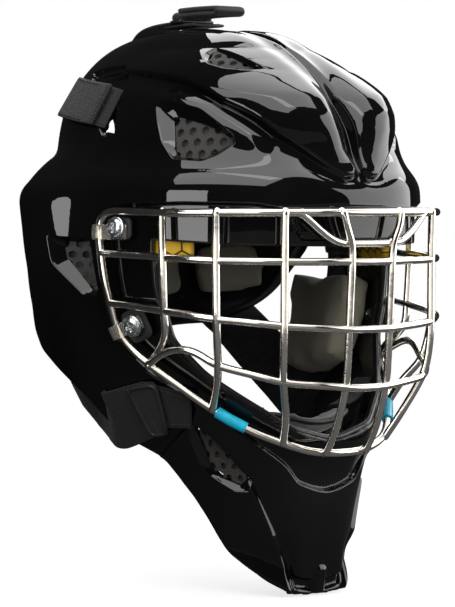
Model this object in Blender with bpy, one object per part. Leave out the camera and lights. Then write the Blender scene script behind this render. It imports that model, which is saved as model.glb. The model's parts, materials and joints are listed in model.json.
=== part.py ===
"""Goalie mask: shell, backplate, wire cage, harness and padding.

Millimetres inside this file, metres in the mesh.  +Z is up, the mask faces -Y
and -X is the wearer's right.  The outer skin is the zero surface of
skin_field(), star-shaped about SKIN_CENTRE and built from plan sections, a
crown dome and a belt shelf; parts that follow the skin are offset from it.
A "mesh" below is a (points, faces) pair, and a "frame" is a skin point with a
matrix whose columns run forward, up and out on the wearer's right side.
"""
import math

import bmesh
import bpy
import numpy as np

# ---------------------------------------------------------------- dimensions
SHELL_T = 4.0                          # shell wall
WIRE_R = 2.3                           # cage wire radius
CAGE_GAP = 1.6                         # cage frame wire to shell
FRAME_OFF = WIRE_R + CAGE_GAP          # cage frame centre line above the skin
BACK_IN = 8.5                          # backplate outer face below the skin
BACK_T = 3.0                           # backplate wall
PAD_OFF = 7.2                          # pads start this far below the skin
REAR_PAD_OFF = BACK_IN + BACK_T + 2.6  # rear pads start this far below it
SHIFT = np.array([0.0, 77.0, 0.0])     # puts the foot's centre on the origin
MIRROR = np.array([-1, 1, 1])
SIDES = ((-1, 'right'), (1, 'left'))

# origins of the parts that can turn
BACK_HINGE = (0.0, 72.0, 322.0)
CUP_AXIS = (0.0, -58.0, 118.0)
TAB_HINGE = (0.0, 33.0, 335.2)

for old in list(bpy.data.objects):
    bpy.data.objects.remove(old, do_unlink=True)


# ---------------------------------------------------------------- outer skin
SKIN_CENTRE = np.array([0.0, 0.0, 190.0])
# height -> plan section below the crown as (half width, y), front to back
LEVELS = {
    260: [(0, -119), (32, -114), (57, -101), (78, -78), (90, -52), (97, -25),
          (103, 0), (111, 24), (120, 46), (112, 80), (70, 110), (0, 120)],
    235: [(0, -121), (32, -116), (57, -103), (79, -79), (91, -52), (98, -25),
          (104, 0), (112, 24), (122, 46), (114, 80), (70, 110), (0, 122)],
    200: [(0, -121), (32, -116), (57, -102), (78, -78), (90, -52), (98, -25),
          (104, 0), (111, 22), (119, 44), (110, 80), (70, 108), (0, 120)],
    155: [(0, -116), (32, -111), (55, -97), (74, -74), (85, -50), (93, -25),
          (100, 0), (107, 20), (113, 38), (104, 75), (66, 104), (0, 116)],
    120: [(0, -108), (30, -103), (50, -90), (66, -70), (77, -46), (85, -22),
          (91, 0), (97, 22), (94, 45), (85, 70), (55, 95), (0, 105)],
    90: [(0, -99), (26, -95), (43, -83), (56, -64), (65, -42), (71, -20),
         (75, 0), (78, 20), (76, 40), (66, 65), (40, 88), (0, 96)],
    60: [(0, -99), (18, -95), (34, -83), (46, -63), (54, -42), (59, -22),
         (61, 0), (62, 20), (60, 40), (50, 62), (30, 80), (0, 86)],
    30: [(0, -99), (14, -92), (29, -79), (39, -62), (45, -45), (49, -25),
         (50, 0), (50, 20), (48, 40), (40, 60), (24, 74), (0, 78)],
    0: [(0, -92), (16, -84), (28, -72), (36, -58), (40, -45), (43, -25),
        (44, 0), (44, 20), (42, 38), (34, 55), (20, 66), (0, 70)],
    -25: [(0, -84), (14, -77), (25, -66), (32, -53), (36, -40), (38, -22),
          (39, 0), (39, 18), (37, 35), (30, 50), (17, 60), (0, 64)],
}
AZIMUTH_TERMS, HEIGHT_TERMS = 11, 6    # cosines round, Chebyshev terms up
FIT_DAMPING = 2e-6
# front limit of the chin and brow: (z, y)
CHIN_FRONT = [(-30, -76), (0, -83), (32, -89.5), (50, -91.5), (66, -92.5), (85, -97),
              (100, -104), (130, -114), (160, -120), (200, -124)]
DOME_CENTRE = np.array([0.0, 0.0, 200.0])
DOME_HEIGHT = 127.0
DOME_PLAN_POWER = 2.2
# size at the dome's base, and power of the curve up to its top
DOME_SIDE, DOME_FRONT, DOME_REAR = (93.0, 2.2), (119.0, 2.15), (126.0, 3.7)
BODY_MM, CHIN_MM, DOME_MM = 100, 90, 105   # turn relative distances into about mm


def lookup(table, x):
    """linear interpolation in a table of (x, value) rows"""
    return np.interp(x, *np.transpose(table))


def section_basis(azimuth, z):
    level = (z - 120.0)/150.0
    heights = [np.ones_like(level), level]
    for _ in range(HEIGHT_TERMS - 2):
        heights.append(2*level*heights[-1] - heights[-2])
    return np.stack([np.cos(i*azimuth)*term
                     for i in range(AZIMUTH_TERMS) for term in heights], -1)


def hermite(knots, values, x):
    """smooth curve through the knots, level at both ends"""
    gap = np.diff(knots)
    slope = np.diff(values)/gap
    tangent = np.zeros_like(knots)
    tangent[1:-1] = (slope[:-1]*gap[1:] + slope[1:]*gap[:-1])/(gap[1:] + gap[:-1])
    k = np.clip(np.searchsorted(knots, x) - 1, 0, len(gap) - 1)
    t = (x - knots[k])/gap[k]
    return (((1 + 2*t)*(1 - t)**2)*values[k] + t*(1 - t)**2*gap[k]*tangent[k]
            + t*t*(3 - 2*t)*values[k + 1] + t*t*(t - 1)*gap[k]*tangent[k + 1])


def fit_sections():
    """least-squares coefficients of the plan radius over azimuth and height"""
    azimuths = np.linspace(0, np.pi, 49)
    rows, radii = [], []
    for z, points in LEVELS.items():
        x, y = np.array(points, float).T
        rows.append(section_basis(azimuths, np.full_like(azimuths, z)))
        radii.append(hermite(np.arctan2(x, -y), np.hypot(x, y), azimuths))
    basis, radii = np.concatenate(rows), np.concatenate(radii)
    damping = FIT_DAMPING*np.eye(basis.shape[1])*len(radii)
    return np.linalg.solve(basis.T@basis + damping, basis.T@radii)


SECTION_FIT = fit_sections()


def soft_min(a, b, blend):
    h = np.clip(0.5 + 0.5*(b - a)/blend, 0, 1)
    return b*(1 - h) + a*h - blend*h*(1 - h)


def soft_max(a, b, blend):
    return -soft_min(-a, -b, blend)


def smoothstep(start, end, x):
    t = np.clip((x - start)/(end - start), 0, 1)
    return t*t*(3 - 2*t)


def dome_field(points):
    x, y, z = (points - DOME_CENTRE).T
    rise = np.clip(z, 0, None)/DOME_HEIGHT
    capped = np.clip(rise, 0, 0.99999)
    side, front, rear = (size*(1 - capped**power)**(1/power)
                         for size, power in (DOME_SIDE, DOME_FRONT, DOME_REAR))
    length = np.where(y < 0, front, rear)
    plan = ((np.abs(x)/side)**DOME_PLAN_POWER
            + (np.abs(y)/length)**DOME_PLAN_POWER)**(1/DOME_PLAN_POWER)
    return np.where(rise >= 1, rise + 1, plan) - 1


def body_field(points):
    x, y, z = points.T
    levels = np.clip(z, min(LEVELS), max(LEVELS))
    radius = section_basis(np.arctan2(np.abs(x), -y), levels)@SECTION_FIT
    return np.hypot(x, y)/radius - 1


def skin_field(points):
    """below zero inside the outer skin, above zero outside, in about millimetres"""
    y, z = points[:, 1], points[:, 2]
    chin = y/lookup(CHIN_FRONT, z) - 1
    body = soft_max(body_field(points)*BODY_MM, chin*CHIN_MM, 7.0)
    shelf = z - (237 - 7*smoothstep(-10, 50, y))       # belt shelf under the crown
    body = soft_max(body, shelf*0.75 + body*0.6, 6.0)
    dome = soft_max(dome_field(points)*DOME_MM, 225 - z, 4.0)
    return soft_min(body, dome, 7.0)


def skin_normals(points):
    steps = np.eye(3)*0.25
    slope = np.stack([skin_field(points + s) - skin_field(points - s) for s in steps], -1)
    return slope/np.linalg.norm(slope, axis=1)[:, None]


def find_skin(place, count, near, far):
    """distances at which place(distance) lands on the skin, by bisection"""
    near, far = np.full(count, near), np.full(count, far)
    for _ in range(30):
        middle = 0.5*(near + far)
        inside = skin_field(place(middle)) < 0
        near = np.where(inside, middle, near)
        far = np.where(inside, far, middle)
    return 0.5*(near + far)


def skin_radius(dirs):
    """distance from SKIN_CENTRE to the skin along unit directions"""
    return find_skin(lambda dist: SKIN_CENTRE + dirs*dist[:, None], len(dirs), 20.0, 330.0)


def skin_at(azimuth_deg, z, offset=0.0):
    """point at an azimuth (0 = front, + towards +X) and height, moved out by
    offset, and its normal"""
    azimuth = np.radians(np.atleast_1d(np.asarray(azimuth_deg, float)))
    z = np.broadcast_to(np.asarray(z, float), azimuth.shape)

    def place(dist):
        return np.stack([np.sin(azimuth)*dist, -np.cos(azimuth)*dist, z], -1)
    points = place(find_skin(place, len(azimuth), 5.0, 220.0))
    normals = skin_normals(points)
    return points + normals*offset, normals


def on_skin(points, offset=0.0):
    """the skin point seen from SKIN_CENTRE towards each point, moved out by
    offset, and its normal"""
    dirs = np.atleast_2d(np.asarray(points, float)) - SKIN_CENTRE
    dirs = dirs/np.linalg.norm(dirs, axis=1)[:, None]
    found = SKIN_CENTRE + dirs*skin_radius(dirs)[:, None]
    normals = skin_normals(found)
    return found + normals*offset, normals


def axes_at(normal, along=(0, 0, 1)):
    """matrix with columns across, along and out, square to the normal"""
    up = np.asarray(along, float) - normal*np.dot(along, normal)
    up /= np.linalg.norm(up)
    return np.stack([np.cross(up, normal), up, normal], 1)


def frame_at(point):
    found, normals = on_skin(point)
    return found[0], axes_at(normals[0])


# ---------------------------------------------------------------- materials
def material(name, color, rough, metal=0.0):
    made = bpy.data.materials.new(name)
    made.use_nodes = True
    inputs = made.node_tree.nodes["Principled BSDF"].inputs
    inputs["Base Color"].default_value = (*color, 1)
    inputs["Roughness"].default_value = rough
    inputs["Metallic"].default_value = metal
    made.diffuse_color = (*color, 1)
    return made


MATERIALS = {
    'shell': material('shell_gloss_black', color=(0.006, 0.006, 0.007), rough=0.08),
    'inner': material('backplate_black', color=(0.02, 0.02, 0.022), rough=0.35),
    'wire': material('cage_wire', color=(0.80, 0.78, 0.74), rough=0.12, metal=1.0),
    'zinc': material('zinc_screw', color=(0.72, 0.76, 0.80), rough=0.25, metal=1.0),
    'clip': material('clear_clip', color=(0.75, 0.78, 0.80), rough=0.10),
    'rubber': material('black_rubber', color=(0.015, 0.015, 0.015), rough=0.7),
    'web': material('strap_webbing', color=(0.035, 0.035, 0.037), rough=0.85),
    'foam': material('olive_foam', color=(0.16, 0.155, 0.125), rough=0.9),
    'dark': material('dark_foam', color=(0.045, 0.043, 0.04), rough=0.9),
    'yellow': material('yellow_foam', color=(0.72, 0.47, 0.03), rough=0.6),
    'grey': material('grey_fabric', color=(0.15, 0.15, 0.15), rough=0.9),
    'blue': material('blue_sleeve', color=(0.0, 0.45, 0.68), rough=0.4),
}


# ---------------------------------------------------------------- objects
def add(name, mesh, mat_key, origin=(0, 0, 0), smooth=40, hide=False):
    """object from a millimetre mesh; origin in the same frame"""
    verts, faces = mesh
    origin = np.asarray(origin, float)
    verts = (np.asarray(verts, float) - origin)/1000.0
    data = bpy.data.meshes.new(name)
    data.from_pydata([tuple(v) for v in verts], [], [tuple(int(i) for i in f) for f in faces])
    data.update()
    bm = bmesh.new()
    bm.from_mesh(data)
    bmesh.ops.recalc_face_normals(bm, faces=bm.faces)
    if bm.calc_volume(signed=True) < 0:
        bmesh.ops.reverse_faces(bm, faces=bm.faces)
    bm.to_mesh(data)
    bm.free()
    ob = bpy.data.objects.new(name, data)
    ob.location = (origin + SHIFT)/1000.0
    bpy.context.collection.objects.link(ob)
    if mat_key:
        data.materials.append(MATERIALS[mat_key])
    data.shade_smooth()
    data.set_sharp_from_angle(angle=math.radians(smooth))
    if hide:
        ob.hide_render = True
        ob.display_type = 'WIRE'
    return ob


def cut(target, name, mesh, operation='DIFFERENCE'):
    """boolean on target with a new hidden helper, which is returned"""
    helper = add(name, mesh, None, hide=True)
    mod = target.modifiers.new(operation.lower(), 'BOOLEAN')
    mod.solver = 'EXACT'
    mod.operation = operation
    mod.object = helper
    return helper


def cut_both(right, left, pattern, mesh):
    """cut right with the mesh and left with its mirror image"""
    verts, faces = mesh
    cut(right, pattern % 'r', mesh)
    cut(left, pattern % 'l', (verts*MIRROR, faces))


def pair(name, mesh, mat_key, origin=(0, 0, 0)):
    """the right-hand part as given, and its mirrored left-hand twin"""
    verts, faces = mesh
    twin = verts*MIRROR, [tuple(reversed(f)) for f in faces]
    return (add(name + '_right', mesh, mat_key, origin),
            add(name + '_left', twin, mat_key, np.asarray(origin, float)*MIRROR))


# ---------------------------------------------------------------- mesh helpers
def prism(outline, direction, start, end):
    """closed prism of outline points, from start to end along direction"""
    outline = np.asarray(outline, float)
    direction = np.asarray(direction, float)
    n = len(outline)
    faces = [tuple(range(n)), tuple(range(2*n - 1, n - 1, -1))]
    faces += [(i, (i + 1) % n, n + (i + 1) % n, n + i) for i in range(n)]
    return np.concatenate([outline + direction*start, outline + direction*end]), faces


def tube(path, radius, seg=6, closed=False):
    path = np.asarray(path, float)
    n = len(path)
    tangents = np.roll(path, -1, 0) - np.roll(path, 1, 0) if closed else np.gradient(path, axis=0)
    tangents /= np.linalg.norm(tangents, axis=1)[:, None]
    up = (0.0, 0.0, 1.0) if abs(tangents[0, 2]) < 0.9 else (1.0, 0.0, 0.0)
    sides = np.zeros_like(path)
    sides[0] = np.cross(tangents[0], up)
    sides[0] /= np.linalg.norm(sides[0])
    for i in range(1, n):
        side = sides[i - 1] - tangents[i]*np.dot(sides[i - 1], tangents[i])
        sides[i] = side/np.linalg.norm(side)
    others = np.cross(tangents, sides)
    verts, faces = [], []
    for i in range(n):
        for k in range(seg):
            angle = 2*math.pi*k/seg
            verts.append(path[i] + radius*(math.cos(angle)*sides[i] + math.sin(angle)*others[i]))
    for i in range(n if closed else n - 1):
        j = (i + 1) % n
        for k in range(seg):
            l = (k + 1) % seg
            faces.append((i*seg + k, i*seg + l, j*seg + l, j*seg + k))
    if not closed:
        faces.append(tuple(range(seg - 1, -1, -1)))
        faces.append(tuple((n - 1)*seg + k for k in range(seg)))
    return np.array(verts), faces


def spline(points, steps, closed=False):
    """Catmull-Rom points through the given ones, steps per span"""
    pts = np.asarray(points, float)
    if not closed:
        pts = np.vstack([2*pts[0] - pts[1], pts, 2*pts[-1] - pts[-2]])
    n = len(pts)
    out = []
    for i in range(n) if closed else range(1, n - 2):
        a, b, c, d = pts[i - 1], pts[i], pts[(i + 1) % n], pts[(i + 2) % n]
        for k in range(steps):
            t = k/steps
            out.append(0.5*((2*b) + (-a + c)*t + (2*a - 5*b + 4*c - d)*t*t
                            + (-a + 3*b - 3*c + d)*t**3))
    if not closed:
        out.append(pts[-2])
    return np.array(out)


def grid_solid(top, bottom):
    """closed solid between two grids of points of the same shape (n, m, 3)"""
    n, m = top.shape[:2]
    o = n*m
    last = (n - 1)*m
    faces = []
    for i in range(n - 1):
        for j in range(m - 1):
            a, b, c, d = i*m + j, i*m + j + 1, (i + 1)*m + j + 1, (i + 1)*m + j
            faces += [(a, b, c, d), (o + d, o + c, o + b, o + a)]
    for i in range(n - 1):
        a, b = i*m, (i + 1)*m
        faces.append((a, b, o + b, o + a))
        faces.append((a + m - 1, o + a + m - 1, o + b + m - 1, b + m - 1))
    for j in range(m - 1):
        faces.append((j, o + j, o + j + 1, j + 1))
        faces.append((last + j, last + j + 1, o + last + j + 1, o + last + j))
    return np.concatenate([top.reshape(-1, 3), bottom.reshape(-1, 3)]), faces


def squircle(n, m, rounding=0.42):
    """n by m grid over a square with rounded corners"""
    a, b = np.meshgrid(np.linspace(-1, 1, n), np.linspace(-1, 1, m), indexing='ij')
    return a*np.sqrt(1 - rounding*b*b/2), b*np.sqrt(1 - rounding*a*a/2)


def ribbon(path, normals, width, thick, offset=0.0):
    """flat strap along path; it stands on the normals from offset to offset+thick"""
    path = np.asarray(path, float)
    along = np.gradient(path, axis=0)
    along /= np.linalg.norm(along, axis=1)[:, None]
    across = np.cross(along, np.asarray(normals, float))
    across /= np.linalg.norm(across, axis=1)[:, None]
    out = np.cross(across, along)
    half = across*np.broadcast_to(np.asarray(width)/2.0, len(path))[:, None]
    low = np.stack([path - half + out*offset, path + half + out*offset], 1)
    return grid_solid(low, low + out[:, None, :]*thick)


def turned(point, axes, profile, seg=10):
    """turned piece about the out axis; profile = (radius, height) rows that
    start and end on the axis, or go round as a ring"""
    verts, faces, rows = [], [], []
    for radius, height in profile:
        count = seg if radius else 1
        rows.append(list(range(len(verts), len(verts) + count)))
        verts += [(radius*math.cos(2*math.pi*k/seg), radius*math.sin(2*math.pi*k/seg), height)
                  for k in range(count)]
    for i in range(len(rows) if profile[0][0] else len(rows) - 1):
        a, b = rows[i], rows[(i + 1) % len(rows)]
        for k in range(seg):
            l = (k + 1) % seg
            if len(a) == 1:
                faces.append((a[0], b[l], b[k]))
            elif len(b) == 1:
                faces.append((a[k], a[l], b[0]))
            else:
                faces.append((a[k], a[l], b[l], b[k]))
    return point + np.array(verts)@axes.T, faces


def drill(point, axes, radius):
    """cutter for a round hole through the shell"""
    return turned(point, axes, [(0, -14), (radius, -14), (radius, 10), (0, 10)])


# ---------------------------------------------------------------- shell
BROW_Z = 199.5
# face opening seen from the side: (y, z)
FACE_OPENING = [(-44, BROW_Z), (-43.7, 176), (-45.5, 163), (-46.4, 144), (-60.9, 124.7),
                (-75.8, 112.5), (-94, 95.5), (-98, 88), (-160, 84), (-160, BROW_Z)]
# rear edge and neck line seen from the side, closed behind and below: (y, z)
REAR_EDGE = [
    (70, 335), (76, 310), (78, 290), (76, 275), (68, 258), (55, 247), (47, 235), (42, 210),
    (38.6, 186), (39, 164), (42, 150), (42, 139), (34, 128), (25, 118), (18, 110), (11, 99.5),
    (-4, 86), (-23, 77), (-29.5, 67), (-35, 56), (-41, 44), (-47, 30.5), (-51, 25), (-61, 17),
    (-70, 9), (-79, 3.6), (-83, -1), (-150, -1), (-150, -60), (170, -60), (170, 335)]
SIDE_CUT_HALF = 170                    # half width of the cuts made from the side
BELOW_FOOT = [(-120, -150, 0), (120, -150, 0), (120, 160, 0), (-120, 160, 0)]
# outlines of the right-hand vents: (x, y, z)
VENTS = {
    'temple': [(-74, -41, 272), (-73, -45, 272), (-63, -79, 260.5), (-64.5, -78, 258),
               (-74, -66, 251), (-79, -52, 252), (-79, -48, 254), (-75, -41, 270)],
    'top': [(-43, -35, 312), (-39, -35, 314), (-39, -42, 312.6), (-35, -69, 304.6),
            (-40.5, -65, 303), (-46.4, -55, 302.7), (-48.4, -44, 305)],
    'ear': [(-110, 14.4, 201), (-104, -1.7, 201), (-102, -6, 174.7), (-103, -2, 173.8),
            (-110, 12.7, 192.5)],
    'jaw': [(-66, -50, 98.5), (-59, -56.5, 88), (-45.4, -69, 67.3), (-46.7, -65, 64),
            (-56, -50.5, 73.3), (-58.6, -50.6, 80), (-65, -49, 95.4)],
}
# right-hand slot beside the crown, for the side strap
SLOT = (-73.5, 12.0, 277.0)
SLOT_OUTLINE = np.array([(-3, -14, 0), (4, -14, 0), (4, 14, 0), (-3, 14, 0)], float)
# flat foot under the chin
FOOT_Y0, FOOT_Y1, FOOT_Z = -82.0, -72.0, 5.0
FOOT_OUTLINE = [(-20, FOOT_Y0, 0), (20, FOOT_Y0, 0), (12.5, FOOT_Y1, 0), (-12.5, FOOT_Y1, 0)]
# right-hand cage screws, each with its frame on the skin
BOLTS = [('upper', *frame_at((-98.7, -24.4, 209.7))), ('lower', *frame_at((-92.1, -30.5, 155.6)))]
BOLT_HOLE_R = 4.0
# how far the lobes stand out: (z, height)
LOBE_RISE = [(236, 0.5), (245, 1.5), (255, 4.0), (262, 8.0), (270, 10.0), (280, 8.5),
             (290, 3.5), (298, 0.0), (306, -2.5), (315, -4.5), (325, -2.5)]


def icosphere(subdivisions):
    """unit directions and faces"""
    bm = bmesh.new()
    bmesh.ops.create_icosphere(bm, subdivisions=subdivisions, radius=1.0)
    dirs = np.array([vert.co[:] for vert in bm.verts])
    faces = [tuple(vert.index for vert in face.verts) for face in bm.faces]
    bm.free()
    return dirs/np.linalg.norm(dirs, axis=1)[:, None], faces


def lobes(points):
    """the crown's two long lobes: a shallow valley on the middle line and a
    hollow under each lobe's lower edge"""
    x, y, z = points.T
    side = np.abs(x)
    half = 9.0 + 5.0*smoothstep(245, 310, z)
    valley = (-3.0*smoothstep(236, 252, z)*(1 - smoothstep(half - 8, half + 6, side))
              * (1 - smoothstep(20, 60, y)))
    edge_z = 238 + 55*np.clip((y + 119)/80.0, 0, 1)**0.8
    hollow = (-3.5*np.exp(-((z - edge_z + 7)/7.0)**2)*smoothstep(8, 25, side)
              * (1 - smoothstep(0, 40, y)))
    bulge = (lookup(LOBE_RISE, z)*smoothstep(8, 32, side)*(1 - smoothstep(48, 64, side))
             * (1 - smoothstep(0, 45, y)))
    return valley + hollow + bulge


def side_prism(outline):
    return prism([(0, y, z) for y, z in outline], (1, 0, 0), -SIDE_CUT_HALF, SIDE_CUT_HALF)


def build_shell():
    dirs, faces = icosphere(5)
    points = SKIN_CENTRE + dirs*skin_radius(dirs)[:, None]
    shell = add('main_shell', (points + dirs*lobes(points)[:, None], faces), 'shell', smooth=50)

    dirs, faces = icosphere(4)
    points = SKIN_CENTRE + dirs*skin_radius(dirs)[:, None]
    slant = np.clip((dirs*skin_normals(points)).sum(1), 0.42, 1)
    inner = points + dirs*(lobes(points) - SHELL_T/slant)[:, None]
    cut(shell, 'cut_inner', (inner, faces))
    cut(shell, 'cut_face', side_prism(FACE_OPENING))
    cut(shell, 'cut_rear', side_prism(REAR_EDGE))
    cut(shell, 'cut_foot', prism(BELOW_FOOT, (0, 0, 1), -260, 0))
    for key, outline in VENTS.items():
        normals = on_skin(np.mean(outline, 0))[1]
        cut_both(shell, shell, 'cut_' + key + '_%s', prism(outline, normals[0], -16, 12))
    point, axes = frame_at(SLOT)
    slot = prism(point + SLOT_OUTLINE@axes.T, axes[:, 2], -12, 8)
    cut_both(shell, shell, 'cut_slot_%s', slot)
    for name, point, axes in BOLTS:
        cut_both(shell, shell, 'cut_bolt_%s_' + name, drill(point, axes, BOLT_HOLE_R))
    cut(shell, 'add_foot', prism(FOOT_OUTLINE, (0, 0, 1), 0, FOOT_Z), 'UNION')


# ---------------------------------------------------------------- cage
# plan of the cage face: (half width, y)
CAGE_PLAN = [(0, -127.4), (8, -127.2), (15, -126.6), (30, -124.4), (45, -120.5), (55, -116.6),
             (65, -110.5), (75, -101.0), (83, -88.2), (90, -72.5), (95.5, -55.5),
             (99, -36.0), (101.5, -15.0)]
# right half of the frame, brow corner to chin, before it is put on the skin
FRAME_SIDE = np.array([
    (-99.6, -19.5, 219), (-100.4, -13.7, 215.8), (-101.1, -11.9, 209.6), (-101.1, -13.7, 197.2),
    (-99.9, -15.8, 180.2), (-97.8, -17.7, 167.3), (-94.4, -19.7, 153.1), (-90, -26, 143),
    (-84.5, -35.4, 134.2), (-76, -49, 123.2), (-63.4, -64.7, 109.4), (-50, -79.2, 98.3),
    (-36, -90.4, 90.4), (-19.5, -95.4, 84.8)])
FRAME_BOTTOM = (0, -102.6, 82.8)
FRAME_TOP_X = [-96, -88, -76, -60, -40, -20, 0, 20, 40, 60, 76, 88, 96.0]
FRAME_TOP_Z = 218.4
# crossbars that follow the plan: (half width, z) rows, half length, skin point
# at the right end, next point inward, y shift
CROSSBARS = [
    ([(0, 191), (55, 191.5), (83, 192), (95.5, 193.5), (100.8, 195.5)],
     97.5, (-100.7, -14.0, 195.5), (-100.2, -30, 194.6), 0.0),
    ([(0, 153.4), (15, 153.4), (55, 155.8), (83, 159.8), (94.5, 163.3), (98.6, 168)],
     95.0, (-97.9, -17.5, 168), (-98.3, -34, 166.0), 0.4),
]
# crossbar before the mouth: x stations, then (half width, z) and (half width, y)
MOUTH_X = [-78, -66, -52, -34, -15, 0, 15, 34, 52, 66, 78.0]
MOUTH_Z = [(0, 120.5), (15, 121), (52, 124.6), (66, 129), (79, 134.5)]
MOUTH_Y = [(0, -124), (15, -123), (34, -119.5), (52, -112.5), (66, -101), (78, -84)]
MOUTH_SHOULDER = np.array((-87.5, -62.0, 141.5))
# uprights on the left (mirrored for the right), top to bottom, and the row of
# FRAME_SIDE where each ends, if it does
UPRIGHTS = [
    ([(21.5, -123.4, 219.5), (19.5, -124.4, 211), (15.2, -124.0, 202), (15, -123.8, 190),
      (15, -121.8, 153), (15, -120.0, 123), (15, -112.0, 100), (15, -102.3, 84.0)], None),
    ([(55, -113.6, 219.5), (55, -113.4, 191), (55, -113.2, 156), (52.5, -109.8, 126),
      (44, -102, 105)], 12),
    ([(82.0, -86.6, 219.5), (81.2, -86.0, 192), (81.0, -86.2, 160), (76.4, -82.6, 133),
      (70, -74, 120)], 10),
    ([(93.0, -53.6, 219.5), (93.3, -54.6, 194), (91.8, -54.0, 164), (89.0, -53.0, 149),
      (87.5, -43.5, 140)], 8),
]
# right half of the wire that dips under the brow
BROW_WIRE = [(-46, -119.0, 217.0), (-36, -121.2, 209.5), (-24, -122.6, 202.3), (-8, -123.9, 201.2)]


def cage_y(x):
    return lookup(CAGE_PLAN, np.abs(x))


def frame_path():
    """closed centre line: over the brow, beside the eyes, along the jaw, under the chin"""
    side = on_skin(FRAME_SIDE, FRAME_OFF)[0]
    top = np.array([(x, cage_y(x) + 1.4, FRAME_TOP_Z) for x in FRAME_TOP_X])
    return spline(np.vstack([side[:1], top, side*MIRROR, FRAME_BOTTOM, side[:0:-1]]), 2, closed=True)


FRAME = frame_path()


def across(ends, middle=()):
    """a path from the right-hand end points, through middle, to their mirror images"""
    ends = np.array(ends, float)
    return [*ends, *middle, *(ends*MIRROR)[::-1]]


def cage_paths():
    """centre lines of all the wires but the frame"""
    paths = []
    for heights, half, end, inward, shift in CROSSBARS:
        end = on_skin(end, FRAME_OFF + 1.0)[0][0]
        middle = [(x, cage_y(x) + shift, lookup(heights, abs(x)))
                  for x in np.linspace(-half, half, 15)[1:-1]]
        paths.append(spline(across([end, inward], middle), 1))

    end = on_skin(FRAME_SIDE[8], FRAME_OFF + 1.2)[0][0]
    knee = (end + MOUTH_SHOULDER)/2 + (-1.5, 0, 1.5)
    middle = [(x, lookup(MOUTH_Y, abs(x)), lookup(MOUTH_Z, abs(x))) for x in MOUTH_X]
    paths.append(spline(across([end, knee, MOUTH_SHOULDER], middle), 2))

    for side, _ in SIDES:
        for points, foot in UPRIGHTS:
            path = list(np.array(points)*(side, 1, 1))
            if foot is not None:
                path.append(on_skin(FRAME_SIDE[foot]*(-side, 1, 1), FRAME_OFF)[0][0])
            paths.append(spline(path, 2))
    paths.append(spline(across(BROW_WIRE), 2))
    return paths


def build_cage():
    cage = add('cage', tube(FRAME, WIRE_R, closed=True), 'wire', smooth=70)
    wires = bpy.data.collections.new('cage_wires')
    bpy.context.scene.collection.children.link(wires)
    for i, path in enumerate(cage_paths()):
        helper = cut(cage, 'cage_wire_%02d' % i, tube(path, WIRE_R), 'UNION')
        bpy.context.collection.objects.unlink(helper)
        wires.objects.link(helper)


def build_sleeves():
    """coloured sleeves on the frame's jaw wires: two tubes joined at the ends"""
    seg = 10
    jaw = FRAME[(FRAME[:, 0] < -20) & (FRAME[:, 1] < -40) & (FRAME[:, 2] < 130)]
    jaw = jaw[np.argsort(jaw[:, 2])]
    path = np.array([[np.interp(z, jaw[:, 2], jaw[:, c]) for c in range(3)]
                     for z in np.linspace(98.0, 106.5, 5)])
    outer = tube(path, WIRE_R + 1.05, seg)[0]
    inner = tube(path, WIRE_R + 0.35, seg)[0]
    o = len(outer)
    end = o - seg
    faces = []
    for i in range(0, end, seg):
        for k in range(seg):
            l = (k + 1) % seg
            faces.append((i + k, i + l, i + seg + l, i + seg + k))
            faces.append((o + i + k, o + i + seg + k, o + i + seg + l, o + i + l))
    for k in range(seg):
        l = (k + 1) % seg
        faces.append((k, o + k, o + l, l))
        faces.append((end + k, end + l, o + end + l, o + end + k))
    pair('wire_sleeve', (np.concatenate([outer, inner]), faces), 'blue')


# ---------------------------------------------------------------- cage hardware
CLIP_Z, CLIP_T = 2.7, 1.5              # clip underside above the skin, and its thickness
CLIP_FRONT_X = 6.5
# per screw: half length of the rubber, clip clearance round the wire, clip span
CLIP_SIZES = {'upper': (7.0, 0.6, (-6.5, 2.0)), 'lower': (10.0, 1.3, (-3.5, 4.5))}


def frame_near(point, normal):
    """axes that follow the frame wire beside a screw, and the wire's place in them"""
    far = np.where(np.abs(FRAME[:, 2] - point[2]) < 6, 0, 100)
    k = np.argmin(np.linalg.norm(FRAME - point, axis=1) + far)
    along = FRAME[(k + 1) % len(FRAME)] - FRAME[k - 1]
    axes = axes_at(normal, along*np.sign(along[2]))
    return axes, (FRAME[k] - point)@axes


def rubber_plate(x0, x1, y0, y1, z0=0.5, z1=2.3, hole=3.2, n=16):
    """rounded plate with a round hole, in a screw's axes"""
    outer, inner = [], []
    for k in range(n):
        cosine, sine = math.cos(2*math.pi*k/n), math.sin(2*math.pi*k/n)
        stretch = (abs(cosine)**4.0 + abs(sine)**4.0)**(-1/4.0)
        outer.append(((x0 + x1)/2 + (x1 - x0)/2*cosine*stretch,
                      (y0 + y1)/2 + (y1 - y0)/2*sine*stretch))
        inner.append((hole*cosine, hole*sine))
    faces = []
    for k in range(n):
        l = (k + 1) % n
        faces += [(k, n + k, n + l, l), (2*n + k, 2*n + l, 3*n + l, 3*n + k),
                  (k, l, 2*n + l, 2*n + k), (n + k, 3*n + k, 3*n + l, n + l)]
    return np.array([(x, y, z) for z in (z0, z1) for x, y in outer + inner]), faces


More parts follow.
